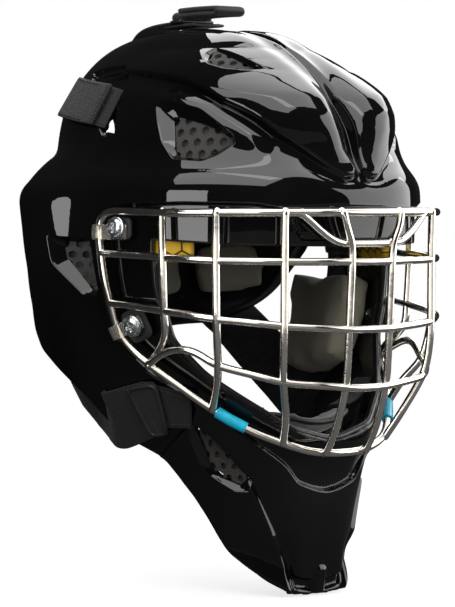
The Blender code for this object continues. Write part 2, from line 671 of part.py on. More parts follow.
def clip_solid(wire_x, wire_z, gap, span):
    """flat foot under the screw head and a hump over the frame wire behind it"""
    def line(heel_x, z, radius):
        hump = [(wire_x + radius*math.cos(angle), wire_z + radius*math.sin(angle))
                for angle in np.linspace(math.radians(35), math.radians(190), 8)]
        return [(CLIP_FRONT_X, z), (heel_x, z)] + hump
    radius = WIRE_R + gap
    low = line(min(-5.5, wire_x + WIRE_R + 2.2), CLIP_Z, radius)
    high = line(min(-4.6, wire_x + WIRE_R + 3.2), CLIP_Z + CLIP_T, radius + CLIP_T)
    loop = low + high[::-1]
    n = len(loop)
    faces = []
    for i in range(len(low) - 1):
        a, b, c, d = i, i + 1, n - 2 - i, n - 1 - i
        faces += [(a, b, c, d), (n + d, n + c, n + b, n + a)]
    for i in range(n):
        j = (i + 1) % n
        faces.append((i, n + i, n + j, j))
    return np.array([(x, y, z) for y in span for x, z in loop]), faces


def build_hardware(name, point, bolt_axes):
    """rubber, clip, screw and tee nut at one screw, on both sides"""
    axes, (wire_x, _, wire_z) = frame_near(point, bolt_axes[:, 2])
    half, gap, span = CLIP_SIZES[name]
    verts, faces = rubber_plate(wire_x + WIRE_R + 1.2, 9.0, -half, half - 1.0)
    pair('clip_rubber_' + name, (point + verts@axes.T, faces), 'rubber')
    verts, faces = clip_solid(wire_x, wire_z, gap, span)
    clips = pair('cage_clip_' + name, (point + verts@axes.T, faces), 'clip')
    cut_both(*clips, 'cut_clip_%s_' + name, drill(point, axes, 3.1))
    head = CLIP_Z + CLIP_T + 0.3
    screw = [(0, -5.6), (2.4, -5.6), (2.4, head), (5.2, head), (5.2, head + 1.6),
             (3.6, head + 2.9), (0, head + 2.9)]
    pair('cage_screw_' + name, turned(point, axes, screw), 'zinc')
    nut = [(2.8, -6.3), (6.5, -6.3), (6.5, -5.0), (3.6, -5.0), (3.6, 0.2), (2.8, 0.2)]
    pair('tee_nut_' + name, turned(point, axes, nut), 'zinc')


# ---------------------------------------------------------------- backplate
BACK_TILT = math.radians(19)
BACK_AXIS = np.array([0.0, math.cos(BACK_TILT), math.sin(BACK_TILT)])
BACK_ACROSS = np.array([1.0, 0, 0])
BACK_UP = np.cross(BACK_ACROSS, BACK_AXIS)
BACK_RINGS, BACK_SPOKES = 7, 36
# reach of the rim: (degrees round the axis from +X, degrees off the axis)
BACK_RIM = [(0, 70), (12, 63), (22, 55), (37, 42), (60, 43), (90, 45), (120, 43), (143, 42),
            (158, 55), (168, 63), (180, 70), (205, 66), (235, 47), (270, 38), (305, 47),
            (335, 66), (360, 70)]
# openings: (azimuth, z, half width, half height)
BACK_OPENINGS = [(180, 262, 5, 15), (152, 258, 5, 14), (208, 258, 5, 14), (165, 205, 14, 5),
                 (195, 205, 14, 5)]
# slanted side planes that the backplate and its pads stay inside, so that
# they tuck in behind the shell's rear edge
TUCK_COS, TUCK_SIN = math.cos(math.radians(40)), math.sin(math.radians(40))
TUCK_Z = np.arange(60.0, 312.0, 6.0)


def shell_reach():
    """how far the shell reaches along the slanted direction at each TUCK_Z"""
    edge = [(z, y) for y, z in REAR_EDGE[::-1] if 55 < z < 330]
    reach = []
    for z in TUCK_Z:
        points, _ = skin_at(-np.linspace(30, 150, 61), z)
        kept = points[points[:, 1] < lookup(edge, z)]
        reach.append((np.abs(kept[:, 0])*TUCK_COS + kept[:, 1]*TUCK_SIN).max())
    return np.array(reach)


SHELL_REACH = shell_reach()


def tuck(points, depth):
    """draws points in so that they stay depth millimetres inside the side planes"""
    points = np.array(points, float)
    x, y, z = points[..., 0], points[..., 1], points[..., 2]
    limit = (np.interp(z, TUCK_Z, SHELL_REACH) - depth - TUCK_SIN*y)/TUCK_COS
    side = np.abs(x)
    drawn = soft_min(side, np.maximum(limit, 20), 10.0)
    points[..., 0] = np.sign(x)*np.where(side > 25, drawn, side)
    return points


def back_directions(ring):
    """directions to the points of one ring; ring 0 is the middle point"""
    if ring == 0:
        return BACK_AXIS[None]
    dirs = []
    for k in range(BACK_SPOKES):
        spoke = 2*math.pi*k/BACK_SPOKES
        lean = math.radians(lookup(BACK_RIM, math.degrees(spoke) % 360))*ring/BACK_RINGS
        round_axis = BACK_ACROSS*math.cos(spoke) + BACK_UP*math.sin(spoke)
        dirs.append(BACK_AXIS*math.cos(lean) + round_axis*math.sin(lean))
    return np.array(dirs)


def build_backplate():
    rows = []
    for depth in (BACK_IN, BACK_IN + BACK_T):
        for ring in range(BACK_RINGS + 1):
            points, normals = on_skin(SKIN_CENTRE + back_directions(ring)*100)
            rows.append(tuck(points - normals*depth, depth - 4.5))
    half = 1 + BACK_RINGS*BACK_SPOKES
    faces = []
    for o, order in ((0, 1), (half, -1)):
        for k in range(BACK_SPOKES):
            l = (k + 1) % BACK_SPOKES
            faces.append((o, o + 1 + k, o + 1 + l)[::order])
            for i in range(BACK_RINGS - 1):
                a = o + 1 + i*BACK_SPOKES
                b = a + BACK_SPOKES
                faces.append((a + k, b + k, b + l, a + l)[::order])
    for k in range(BACK_SPOKES):
        l = (k + 1) % BACK_SPOKES
        a = 1 + (BACK_RINGS - 1)*BACK_SPOKES
        b = half + a
        faces.append((a + k, b + k, b + l, a + l))
    back = add('backplate', (np.concatenate(rows), faces), 'inner', BACK_HINGE)

    for i, (azimuth, z, width, height) in enumerate(BACK_OPENINGS):
        points, normals = skin_at(azimuth, z)
        oval = np.array([(width*math.cos(2*math.pi*k/10), height*math.sin(2*math.pi*k/10), 0)
                         for k in range(10)])
        outline = points[0] + oval@axes_at(normals[0]).T
        cut(back, 'cut_back_%d' % i, prism(outline, normals[0], -24, 6))


# ---------------------------------------------------------------- padding
# name, corners in order round the pad as (azimuth, z), depth below the skin,
# thickness, material, grid, whether tucked in with the backplate
SIDE_PADS = [   # left-hand ones; the right-hand ones have the azimuths negated
    ('brow_pad', [(52, 188), (76, 186), (76, 226), (52, 230)],
     PAD_OFF, 10.0, 'yellow', (6, 6), False),
    ('temple_pad', [(50, 242), (104, 240), (100, 282), (56, 284)],
     PAD_OFF, 9.0, 'dark', (8, 6), False),
    ('cheek_pad', [(70, 122), (112, 108), (116, 178), (70, 182)],
     PAD_OFF, 20.0, 'foam', (8, 8), False),
    ('jaw_pad', [(34, 72), (62, 64), (66, 92), (38, 82)],
     PAD_OFF + 1.0, 9.0, 'dark', (6, 5), False),
    ('ear_pad', [(84, 190), (103, 190), (103, 224), (84, 226)],
     PAD_OFF, 7.0, 'dark', (6, 6), False),
    ('rear_pad', [(118, 163), (150, 160), (152, 196), (122, 200)],
     REAR_PAD_OFF, 12.0, 'foam', (7, 6), True),
]
MIDDLE_PADS = [
    ('forehead_pad', [(-46, 206), (46, 206), (44, 242), (-44, 242)],
     PAD_OFF + 2.0, 10.0, 'dark', (11, 5), False),
    ('rear_pad_centre', [(156, 160), (204, 160), (202, 196), (158, 196)],
     REAR_PAD_OFF, 12.0, 'foam', (7, 6), True),
    ('occipital_pad', [(146, 218), (214, 218), (210, 250), (150, 250)],
     BACK_IN + BACK_T + 4.0, 8.0, 'dark', (8, 5), True),
]
SWEATBAND = ('sweatband', [(-43, 204), (43, 204), (42, 232), (-42, 232)],
             PAD_OFF + 14.0, 2.4, 'grey', (11, 4), False)
CROWN_DEPTHS = PAD_OFF + 6.5, PAD_OFF + 17.5   # crown pad faces below the skin


def pad(name, corners, depth, thick, mat_key, grid, tucked, edge=2.0):
    """pad inside the skin, thinner by edge round its rim"""
    a, b = squircle(*grid)
    weights = [(1 - a)*(1 - b)/4, (1 + a)*(1 - b)/4, (1 + a)*(1 + b)/4, (1 - a)*(1 + b)/4]
    places = sum(w[..., None]*corner for w, corner in zip(weights, np.array(corners, float)))
    outer, normals = skin_at(places[..., 0].ravel(), places[..., 1].ravel(), -depth)
    outer = outer.reshape(*grid, 3)
    normals = normals.reshape(*grid, 3)
    rim = np.maximum(np.abs(a), np.abs(b)) > 0.99
    inner = outer - normals*(thick - np.where(rim, edge, 0.0))[..., None]
    middle = outer[1:-1, 1:-1].mean((0, 1)) - normals.mean((0, 1))*thick
    inner = np.where(rim[..., None], inner + (middle - inner)*0.04, inner)
    if tucked:
        outer, inner = tuck(outer, depth - 4.0), tuck(inner, depth - 4.0 + thick)
    add(name, grid_solid(outer, inner), mat_key)


def build_pads():
    for spec in MIDDLE_PADS:
        pad(*spec)
    pad(*SWEATBAND, edge=0.6)
    for side, side_name in SIDES:
        for name, corners, *rest in SIDE_PADS:
            pad(name + '_' + side_name, np.array(corners)*(side, 1), *rest)


def build_crown_pad():
    """round patch at the top"""
    a, b = squircle(8, 8, 0.9)
    dirs = np.stack([a*0.46, b*0.50 - 0.12, np.ones_like(a)], -1)
    points, normals = on_skin(SKIN_CENTRE + dirs.reshape(-1, 3)*100)
    faces = [(points - normals*depth).reshape(8, 8, 3) for depth in CROWN_DEPTHS]
    add('crown_pad', grid_solid(*faces), 'dark')


# ---------------------------------------------------------------- chin cup
CUP_CENTRE = (0.0, -66.0, 98.0)
CUP_HALF_X, CUP_HALF_Y, CUP_T = 30, 17, 9.0


def build_chin_cup():
    a, b = squircle(9, 7, 0.8)
    x, y = a*CUP_HALF_X, b*CUP_HALF_Y
    dish = 0.012*x**2 + 0.01*(y - 10)**2 - 2
    top = np.stack([x, CUP_CENTRE[1] + y, CUP_CENTRE[2] + dish], -1)
    add('chin_cup', grid_solid(top, top*(0.94, 1, 1) - (0, 0, CUP_T)), 'grey', CUP_AXIS)


def build_chin_straps():
    """from the cup's sides up to the inside of the shell, sagging a little"""
    for side, side_name in SIDES:
        start = np.array((side*32.5, -64.0, 106.5))
        points, normals = on_skin((side*67.0, *CUP_AXIS[1:]))
        run = points[0] - normals[0]*(SHELL_T + 7.5) - start
        path = [start + run*t + (0, 0, -3.0*math.sin(math.pi*t)) for t in np.linspace(0, 1, 5)]
        face = np.cross(run, (0, 1, 0))*side
        add('chin_strap_' + side_name, ribbon(path, face, 14, 1.8), 'web', CUP_AXIS)


# ---------------------------------------------------------------- harness
# strap paths as points near the skin: (x, y, z)
TOP_MOUNT_PATH = [(0, y, 327.0) for y in (44, 39, 34, 29, 24, 19)]
TOP_LOOP_PATH = [(0, y, 327.0) for y in (37, 33, 29)]
TOP_STRAP_PATH = [(0, 86, 312), (0, 93, 303), (0, 99, 290), (0, 103, 276)]
SIDE_TAB_PATH = [(-73.8, 21, 277.5), (-72.5, 30, 278.5), (-70.2, 40, 279.6),
                 (-67.0, 50, 280.6), (-63.0, 60, 281.6), (-58.6, 69, 282.4)]
SIDE_STRAP_PATH = [(-46, 98, 280), (-38, 104, 279), (-29, 109, 278), (-20, 112, 277)]
LOWER_PATH = [(-70.0, -52, 105.5), (-74.2, -43, 106.8), (-76.8, -36, 107.2), (-78.5, -28, 107.5),
              (-79.5, -20, 105.0), (-80.3, -11, 102.0), (-80.7, -2, 99.0), (-81.2, 7, 97.0)]


def build_top_strap():
    """mount and loop on the crown, the tab folded over them, elastic at the back"""
    add('top_strap_mount', ribbon(*on_skin(TOP_MOUNT_PATH), 24, 2.2, 0.6), 'rubber')
    add('top_strap_loop', ribbon(*on_skin(TOP_LOOP_PATH), 27, 2.4, 3.2), 'rubber')
    tab_y = np.linspace(TAB_HINGE[1], -2, 8)
    path = [(0, y, 333.4 - 0.0011*(y - 14)**2) for y in tab_y]
    widths = np.where(tab_y < 2, 20, 23)
    add('top_tab', ribbon(path, (0, 0, 1), widths, 6.2), 'web', TAB_HINGE)
    points, normals = on_skin(TOP_STRAP_PATH)
    strap = ribbon(points - normals*BACK_IN, normals, 30, 2.0, 0.5)
    add('top_strap', strap, 'web', BACK_HINGE)


def build_side_straps():
    """tab folded back from the slot, elastic on the backplate"""
    points, normals = on_skin(SIDE_TAB_PATH)
    hinge = points[0] + normals[0]*2.0
    pair('side_tab', ribbon(points, normals, 27, 3.2, 1.2), 'web', hinge)
    points, normals = on_skin(SIDE_STRAP_PATH)
    strap = ribbon(points - normals*BACK_IN, normals, 25, 1.8, 0.5)
    pair('side_strap', strap, 'web', BACK_HINGE)


def build_lower_straps():
    """strap widening from the jaw to the rear edge, and its buckle"""
    points, normals = on_skin(LOWER_PATH)
    widths = np.linspace(18, 34, len(points))
    pair('lower_strap', ribbon(points, normals, widths, 2.0, 0.8), 'web')
    buckle = ribbon(points[2:5], normals[2:5], 33, 2.2, 3.4)
    pair('lower_buckle', buckle, 'rubber', points[3])


build_shell()
for bolt in BOLTS:
    build_hardware(*bolt)
build_cage()
build_sleeves()
build_backplate()
build_pads()
build_crown_pad()
build_chin_cup()
build_chin_straps()
build_top_strap()
build_side_straps()
build_lower_straps()
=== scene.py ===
"""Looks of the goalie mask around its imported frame: gloss shell with its lobes, vents
and recesses, chromed cage, clips, straps, backplate and padding.
Millimetres in the helper functions, metres in the meshes."""
import bpy
import bmesh
import math
import json
import numpy as np
from mathutils import Vector, Matrix

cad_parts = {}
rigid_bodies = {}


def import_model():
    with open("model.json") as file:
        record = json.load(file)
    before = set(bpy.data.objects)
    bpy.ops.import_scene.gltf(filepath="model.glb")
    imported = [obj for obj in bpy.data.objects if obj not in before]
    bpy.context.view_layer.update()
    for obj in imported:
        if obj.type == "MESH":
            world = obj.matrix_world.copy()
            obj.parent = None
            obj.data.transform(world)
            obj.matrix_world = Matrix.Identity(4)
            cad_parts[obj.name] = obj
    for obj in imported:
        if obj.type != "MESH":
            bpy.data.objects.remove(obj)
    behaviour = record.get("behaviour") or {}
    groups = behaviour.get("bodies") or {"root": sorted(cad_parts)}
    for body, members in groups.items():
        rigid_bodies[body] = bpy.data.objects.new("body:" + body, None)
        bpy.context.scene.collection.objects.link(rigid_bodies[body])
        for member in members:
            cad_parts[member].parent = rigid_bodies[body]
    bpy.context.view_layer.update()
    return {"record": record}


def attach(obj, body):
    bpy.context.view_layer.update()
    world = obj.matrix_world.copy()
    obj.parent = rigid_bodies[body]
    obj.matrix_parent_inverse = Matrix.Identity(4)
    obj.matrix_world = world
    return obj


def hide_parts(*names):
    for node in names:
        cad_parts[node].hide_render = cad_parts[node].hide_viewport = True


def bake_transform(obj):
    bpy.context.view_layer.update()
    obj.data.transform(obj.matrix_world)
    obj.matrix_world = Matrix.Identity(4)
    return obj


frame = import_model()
SHIFT = np.array([0.0, 77.0, 0.0])
WIRE_R, CAGE_GAP, BACK_IN, BACK_T, PAD_OFF, SHELL_T, BROW_Z = 2.3, 1.6, 8.5, 3.0, 7.2, 4.0, 199.5

# ------------------------------------------------------------------ outer skin
C0 = np.array([0.0, 0.0, 190.0])          # centre the skin is star-shaped about
# plan sections of the outer skin below the crown: height -> (half width, y) from front to back
LEVELS = {
 260: [(0,-119),(32,-114),(57,-101),(78,-78),(90,-52),(97,-25),(103,0),(111,24),(120,46),(112,80),(70,110),(0,120)],
 235: [(0,-121),(32,-116),(57,-103),(79,-79),(91,-52),(98,-25),(104,0),(112,24),(122,46),(114,80),(70,110),(0,122)],
 200: [(0,-121),(32,-116),(57,-102),(78,-78),(90,-52),(98,-25),(104,0),(111,22),(119,44),(110,80),(70,108),(0,120)],
 155: [(0,-116),(32,-111),(55,-97),(74,-74),(85,-50),(93,-25),(100,0),(107,20),(113,38),(104,75),(66,104),(0,116)],
 120: [(0,-108),(30,-103),(50,-90),(66,-70),(77,-46),(85,-22),(91,0),(97,22),(94,45),(85,70),(55,95),(0,105)],
 90:  [(0,-99),(26,-95),(43,-83),(56,-64),(65,-42),(71,-20),(75,0),(78,20),(76,40),(66,65),(40,88),(0,96)],
 60:  [(0,-99),(18,-95),(34,-83),(46,-63),(54,-42),(59,-22),(61,0),(62,20),(60,40),(50,62),(30,80),(0,86)],
 30:  [(0,-99),(14,-92),(29,-79),(39,-62),(45,-45),(49,-25),(50,0),(50,20),(48,40),(40,60),(24,74),(0,78)],
 0:   [(0,-92),(16,-84),(28,-72),(36,-58),(40,-45),(43,-25),(44,0),(44,20),(42,38),(34,55),(20,66),(0,70)],
 -25: [(0,-84),(14,-77),(25,-66),(32,-53),(36,-40),(38,-22),(39,0),(39,18),(37,35),(30,50),(17,60),(0,64)],
}
NPHI, NZ = 11, 6
def _basis(phi, z):
    t = (z-120.0)/150.0
    T = [np.ones_like(t), t]
    for _ in range(NZ-2):
        T.append(2*t*T[-1]-T[-2])
    return np.stack([np.cos(i*phi)*Tj for i in range(NPHI) for Tj in T], -1)
def _cubic(x, y, g):
    x = np.asarray(x, float)
    y = np.asarray(y, float)
    h = np.diff(x)
    d = np.diff(y)/h
    m = np.zeros_like(x)
    m[1:-1] = (d[:-1]*h[1:]+d[1:]*h[:-1])/(h[1:]+h[:-1])
    k = np.clip(np.searchsorted(x, g)-1, 0, len(h)-1)
    t = (g-x[k])/h[k]
    return ((1+2*t)*(1-t)**2)*y[k] + t*(1-t)**2*h[k]*m[k] + t*t*(3-2*t)*y[k+1] + t*t*(t-1)*h[k]*m[k+1]
def _fit():
    P, Zs, R = [], [], []
    for z, pts in LEVELS.items():
        ph = np.array([np.arctan2(x, -y) for x, y in pts])
        rr = np.array([np.hypot(x, y) for x, y in pts])
        g = np.linspace(0, np.pi, 49)
        P.append(g)
        Zs.append(np.full_like(g, z))
        R.append(_cubic(ph, rr, g))
    P, Zs, R = map(np.concatenate, (P, Zs, R))
    A = _basis(P, Zs)
    lam = 2e-6*np.eye(A.shape[1])*len(R)
    return np.linalg.solve(A.T@A+lam, A.T@R)
COEF = _fit()
def smin(a, b, k):
    h = np.clip(0.5+0.5*(b-a)/k, 0, 1)
    return b*(1-h)+a*h - k*h*(1-h)
def smax(a, b, k):
    return -smin(-a, -b, k)
def ss(a, b, x):
    t = np.clip((x-a)/(b-a), 0, 1)
    return t*t*(3-2*t)
DC = np.array([0.0, 0.0, 200.0])          # middle of the crown dome
DA, DF, DR, DH, PN, QX, QF, QR = 93.0, 119.0, 126.0, 127.0, 2.2, 2.2, 2.15, 3.7
def dome(p):
    x, y, z = (p-DC).T
    u = np.clip(z, 0, None)/DH
    uu = np.clip(u, 0, 0.99999)
    a = DA*(1-uu**QX)**(1/QX)
    bf = DF*(1-uu**QF)**(1/QF)
    br = DR*(1-uu**QR)**(1/QR)
    b = np.where(y < 0, bf, br)
    s = ((np.abs(x)/a)**PN + (np.abs(y)/b)**PN)**(1/PN)
    return np.where(u >= 1, u+1, s) - 1
def body(p):
    x, y, z = p.T
    phi = np.arctan2(np.abs(x), -y)
    rho = np.hypot(x, y)
    return rho/(_basis(phi, np.clip(z, -25, 260))@COEF) - 1
def chin_front(p):
    yf = np.interp(p[:, 2], [-30, 0, 32, 50, 66, 85, 100, 130, 160, 200], [-76, -83, -89.5, -91.5, -92.5, -97, -104, -114, -120, -124])
    return p[:, 1]/yf - 1
def F(p):
    """below zero inside the outer skin, above zero outside, in about millimetres"""
    b = smax(body(p)*100, chin_front(p)*90, 7.0)
    s = p[:, 2] - (237 - 7*ss(-10, 50, p[:, 1]))
    b = smax(b, s*0.75 + b*0.6, 6.0)
    d = smax(dome(p)*105, 225-p[:, 2], 4.0)
    return smin(b, d, 7.0)
def grad(p):
    e = 0.25
    g = np.stack([(F(p+np.eye(3)[i]*e)-F(p-np.eye(3)[i]*e)) for i in range(3)], -1)
    return g/np.linalg.norm(g, axis=1)[:, None]
def skin_r(d, n=30):
    """distance from C0 to the skin along unit directions d"""
    lo = np.full(len(d), 20.0)
    hi = np.full(len(d), 330.0)
    for _ in range(n):
        m = 0.5*(lo+hi)
        f = F(C0+d*m[:, None])
        lo = np.where(f < 0, m, lo)
        hi = np.where(f < 0, hi, m)
    return 0.5*(lo+hi)
def at(phi_deg, z, off=0.0):
    """point at azimuth phi (0 = front, + towards +X) and height z, moved out by off"""
    phi = np.radians(np.atleast_1d(np.asarray(phi_deg, float)))
    z = np.broadcast_to(np.asarray(z, float), phi.shape).copy()
    lo = np.full(phi.shape, 5.0)
    hi = np.full(phi.shape, 220.0)
    dx, dy = np.sin(phi), -np.cos(phi)
    for _ in range(26):
        m = 0.5*(lo+hi)
        f = F(np.stack([dx*m, dy*m, z], -1))
        lo = np.where(f < 0, m, lo)
        hi = np.where(f < 0, hi, m)
    p = np.stack([dx*lo, dy*lo, z], -1)
    n = grad(p)
    return p + n*off, n
def on_skin(p, off=0.0):
    """the skin point seen from C0 towards p, moved out by off, and its normal"""
    p = np.atleast_2d(np.asarray(p, float))
    d = p-C0
    d = d/np.linalg.norm(d, axis=1)[:, None]
    q = C0 + d*fast_r(d)[:, None]
    n = grad(q)
    return q + n*off, n
def fast_r(d):
    """skin distance by a short bisection and then regula falsi"""
    lo = np.full(len(d), 20.0)
    hi = np.full(len(d), 330.0)
    for _ in range(7):
        m = 0.5*(lo+hi)
        f = F(C0+d*m[:, None])
        lo = np.where(f < 0, m, lo)
        hi = np.where(f < 0, hi, m)
    fl = F(C0+d*lo[:, None])
    fh = F(C0+d*hi[:, None])
    for _ in range(6):
        m = np.where(np.abs(fh-fl) > 1e-12, (lo*fh-hi*fl)/np.where(np.abs(fh-fl) > 1e-12, fh-fl, 1), 0.5*(lo+hi))
        m = np.clip(m, lo, hi)
        f = F(C0+d*m[:, None])
        neg = f < 0
        fh = np.where(neg, fh*0.5, f)
        fl = np.where(neg, f, fl*0.5)
        lo = np.where(neg, m, lo)
        hi = np.where(neg, hi, m)
    return np.where(np.abs(fl) < np.abs(fh), lo, hi)

# ------------------------------------------------------------------ flat maps of the skin
_a, _b = math.radians(62), math.radians(22)
E0 = np.array([-math.sin(_a)*math.cos(_b), -math.cos(_a)*math.cos(_b), math.sin(_b)])
E1 = np.cross((0.0, 0.0, 1.0), E0)
E1 /= np.linalg.norm(E1)
E2 = np.cross(E0, E1)
def uv(p):
    """crown map: forward and up along the skin, the same for both halves"""
    d = p-C0
    d = d/np.linalg.norm(d, axis=1)[:, None]
    d = np.stack([-np.abs(d[:, 0]), d[:, 1], d[:, 2]], -1)
    a = np.arccos(np.clip(d@E0, -1, 1))
    k = np.where(a < 1e-6, 1.0, a/np.maximum(np.sin(a), 1e-6))*125.0
    return np.stack([d@E1*k, d@E2*k], -1)
def cyl(p):
    """side map: distance round the mask from the middle of the front, and height"""
    return np.stack([1.6*np.degrees(np.arctan2(np.abs(p[:, 0]), -p[:, 1])), p[:, 2]], -1)
def chaikin(P, n=2, closed=True, r=None):
    """rounds an outline: near each corner the line is replaced by a short arc; r limits how far from the corner it starts"""
    P = np.asarray(P, float)
    r = {1: 1.2, 2: 3.0}.get(n, 4.0) if r is None else r
    out = []
    m = len(P)
    for i in range(m):
        if not closed and i in (0, m-1):
            out.append(P[i])
            continue
        a, b, c = P[i-1], P[i], P[(i+1) % m]
        la, lc = np.linalg.norm(a-b), np.linalg.norm(c-b)
        da, dc = min(r, la*0.48), min(r, lc*0.48)
        p0, p2 = b+(a-b)/max(la, 1e-9)*da, b+(c-b)/max(lc, 1e-9)*dc
        for t in (0.0, 0.2, 0.4, 0.6, 0.8, 1.0):
            out.append((1-t)**2*p0+2*t*(1-t)*b+t*t*p2)
    return np.array(out)
def sd(q, poly, margin=30.0):
    """signed distance to a closed outline, below zero inside"""
    poly = np.asarray(poly, float)
    out = np.full(len(q), margin)
    lo, hi = poly.min(0)-margin, poly.max(0)+margin
    k = np.where((q > lo).all(1) & (q < hi).all(1))[0]
    if len(k) == 0:
        return out
    x = q[k]
    best = np.full(len(k), 1e9)
    inside = np.zeros(len(k), bool)
    for i in range(len(poly)):
        a, b = poly[i-1], poly[i]
        e = b-a
        w = x-a
        t = np.clip((w@e)/max(e@e, 1e-12), 0, 1)
        r = w-t[:, None]*e
        best = np.minimum(best, (r*r).sum(1))
        c1 = (a[1] > x[:, 1]) != (b[1] > x[:, 1])
        with np.errstate(divide='ignore', invalid='ignore'):
            xi = a[0]+(x[:, 1]-a[1])*(e[0]/(e[1] if abs(e[1]) > 1e-12 else 1e-12))
        inside ^= c1 & (x[:, 0] < xi)
    s = np.sqrt(best)
    out[k] = np.minimum(np.where(inside, -s, s), margin)
    return out
def along(q, line, margin=30.0):
    """distance to an open line (left of it positive) and the share of the way along it"""
    line = np.asarray(line, float)
    out = np.full(len(q), margin)
    tt = np.zeros(len(q))
    seg = np.linalg.norm(np.diff(line, axis=0), axis=1)
    cum = np.concatenate([[0], np.cumsum(seg)])
    best = np.full(len(q), 1e9)
    for i in range(len(line)-1):
        a, b = line[i], line[i+1]
        e = b-a
        w = q-a
        t = np.clip((w@e)/(e@e), 0, 1)
        r = w-t[:, None]*e
        d2 = (r*r).sum(1)
        s = np.sign(e[0]*w[:, 1]-e[1]*w[:, 0])
        k = d2 < best-1e-12
        best = np.where(k, d2, best)
        out = np.where(k, s*np.sqrt(d2), out)
        tt = np.where(k, (cum[i]+t*seg[i])/cum[-1], tt)
    return np.clip(out, -margin, margin), tt

# ------------------------------------------------------------------ shell features
LOBE = chaikin([(-76.6, 94.2), (-48.7, 92.3), (-26, 82.1), (4.9, 68.7), (32, 52.6), (49.5, 45), (66, 36.1), (84.7, 29.4), (100.4, 24.3), (111, 22.1),
                (116.5, 25.0), (117.5, 32.4), (109.8, 44.1), (99.2, 60.2), (88.9, 78.3), (71.1, 99.1), (50, 120), (10, 140), (-40, 140), (-85, 118)], 2)
HOOD = [(-22, 62), (2.0, 60.5), (24.0, 52.0), (46.0, 39.0), (66.0, 27.0)]
T_RIM = chaikin([(-13.4, 57.5), (-9.5, 60.0), (18.8, 51.2), (42.8, 34.0), (45.2, 29.6), (35.6, 21.6), (25.7, 17.6), (6.1, 20.4), (-4.5, 33), (-10.2, 46.9)], 2)
T_VENT = chaikin([(0.6, 47.2), (3.0, 49.2), (24, 41.2), (41.4, 33), (42.0, 30.6), (25.6, 22.1), (9.4, 24), (5.6, 27.5)], 1, r=1.6)
TOP_VENT = chaikin([(11, 96), (12.7, 100), (19.4, 96), (44.8, 81.4), (38.5, 79), (27.4, 80.1), (16.4, 85), (12.0, 91.1)], 1, r=1.6)
TOP_RIM = chaikin([(7.5, 97), (11, 103), (20.4, 99), (51.8, 80.2), (39.5, 76.4), (26.4, 77.3), (14.0, 83), (8.6, 90.6)], 2)
SLOT = chaikin([(-66.1, 88.6), (-54.4, 84), (-51.9, 50.7), (-63, 55.2)], 1, r=1.6)
SLOT_RIM = chaikin([(-88.0, 104), (-70, 101), (-55.1, 97.6), (-48.8, 93.5), (-44.2, 52.2), (-48, 47), (-60, 49), (-67, 60)], 2)
SLIT = chaikin([(-89.7, 109), (-72.4, 106.6), (-51.9, 100.4), (-50.1, 96.6), (-51.1, 94.6), (-68.4, 98.7), (-83.7, 102.4)], 2)
SEAT = chaikin([(0, 203.3), (32.2, 203.3), (34.1, 211.1), (36.2, 216.1), (40.8, 220.5), (52.1, 223.2), (85.9, 223.9), (119.5, 222.6), (131.1, 220.9), (136.9, 216.3), (138.1, 209.6), (136.8, 196), (134.8, 179), (132.9, 166), (130.9, 150.7), (124.6, 139.4), (112.9, 128.8), (95.4, 118.4), (81.3, 111.4), (64.9, 100.9), (46.8, 87.4), (29, 73.1), (21.9, 65.4), (8.8, 61.3), (0, 59.8), (-9, 61), (-9, 203.3)], 2)
E_VENT = chaikin([(155.9, 200.9), (142.8, 201), (138.9, 174.7), (142.2, 174.6), (154.6, 192.5)], 1, r=1.2)
E_RIM = chaikin([(163.6, 205.4), (141.8, 203.2), (137.2, 173.3), (138.5, 171.0), (146.9, 171.8), (159.7, 187.6), (161.4, 190.6)], 1, r=1.6)
J_VENT = chaikin([(84.8, 98.5), (74, 88), (53.2, 67.3), (57.2, 64), (70, 68.6), (76.8, 73.3), (78.7, 80.2), (85.2, 95.4)], 1, r=1.4)
J_RIM = chaikin([(89, 101.7), (71.8, 91.2), (49.3, 66.4), (50.0, 60.4), (60.5, 60.6), (77.6, 69.4), (83.8, 77.6), (89.0, 90.6)], 1, r=2.0)
OPEN = chaikin([(103.6, 204.1), (103.8, 190.8), (103.3, 176.2), (100.7, 162.8), (97.7, 144.1), (79.1, 124.7), (60, 112.5), (31.1, 95.5), (4.7, 88.2), (-8, 87.4), (-8, BROW_Z), (20, BROW_Z), (60, BROW_Z+0.6), (96, BROW_Z+3.0)], 2)
L_B = chaikin([(66, 82), (57.3, 73.2), (47.5, 60.7), (36, 37.8), (28.1, 14.9), (22.5, 2.1), (18, -12)], 2, closed=False)
STRIP = chaikin([(92, 43), (76, 33), (65.2, 26.6), (47.7, 16.4), (29.7, 7.8), (20, 3)], 1, closed=False)
JAW_LEFT = chaikin([(81.3, 111.4), (87.9, 99), (110.6, 82.9), (124, 76)], 2, closed=False)
CHIN_SLOT = chaikin([(25.5, 12.4), (5.4, 8.8), (4.6, 1.2), (19.6, 3.4)], 1)
LIP = chaikin([(-6, 17), (4.2, 15.5), (4.4, -8), (-6, -8)], 2)
REAR = np.array([(70, 335), (76, 310), (78, 290), (76, 275), (68, 258), (55, 247), (47, 235), (42, 210), (38.6, 186), (39, 164), (42, 150), (42, 139), (34, 128), (25, 118), (18, 110), (11, 99.5), (-4, 86), (-23, 77), (-29.5, 67), (-35, 56), (-41, 44), (-47, 30.5), (-51, 25), (-61, 17), (-70, 9), (-79, 3.6), (-83, -1.0), (-150, -1.0), (-150, -60), (170, -60), (170, 335)], float)
REAR = np.vstack([chaikin(REAR[:27], 2, closed=False), REAR[27:]])
BOLTS = [('upper', (-98.7, -24.4, 209.7)), ('lower', (-92.1, -30.5, 155.6))]

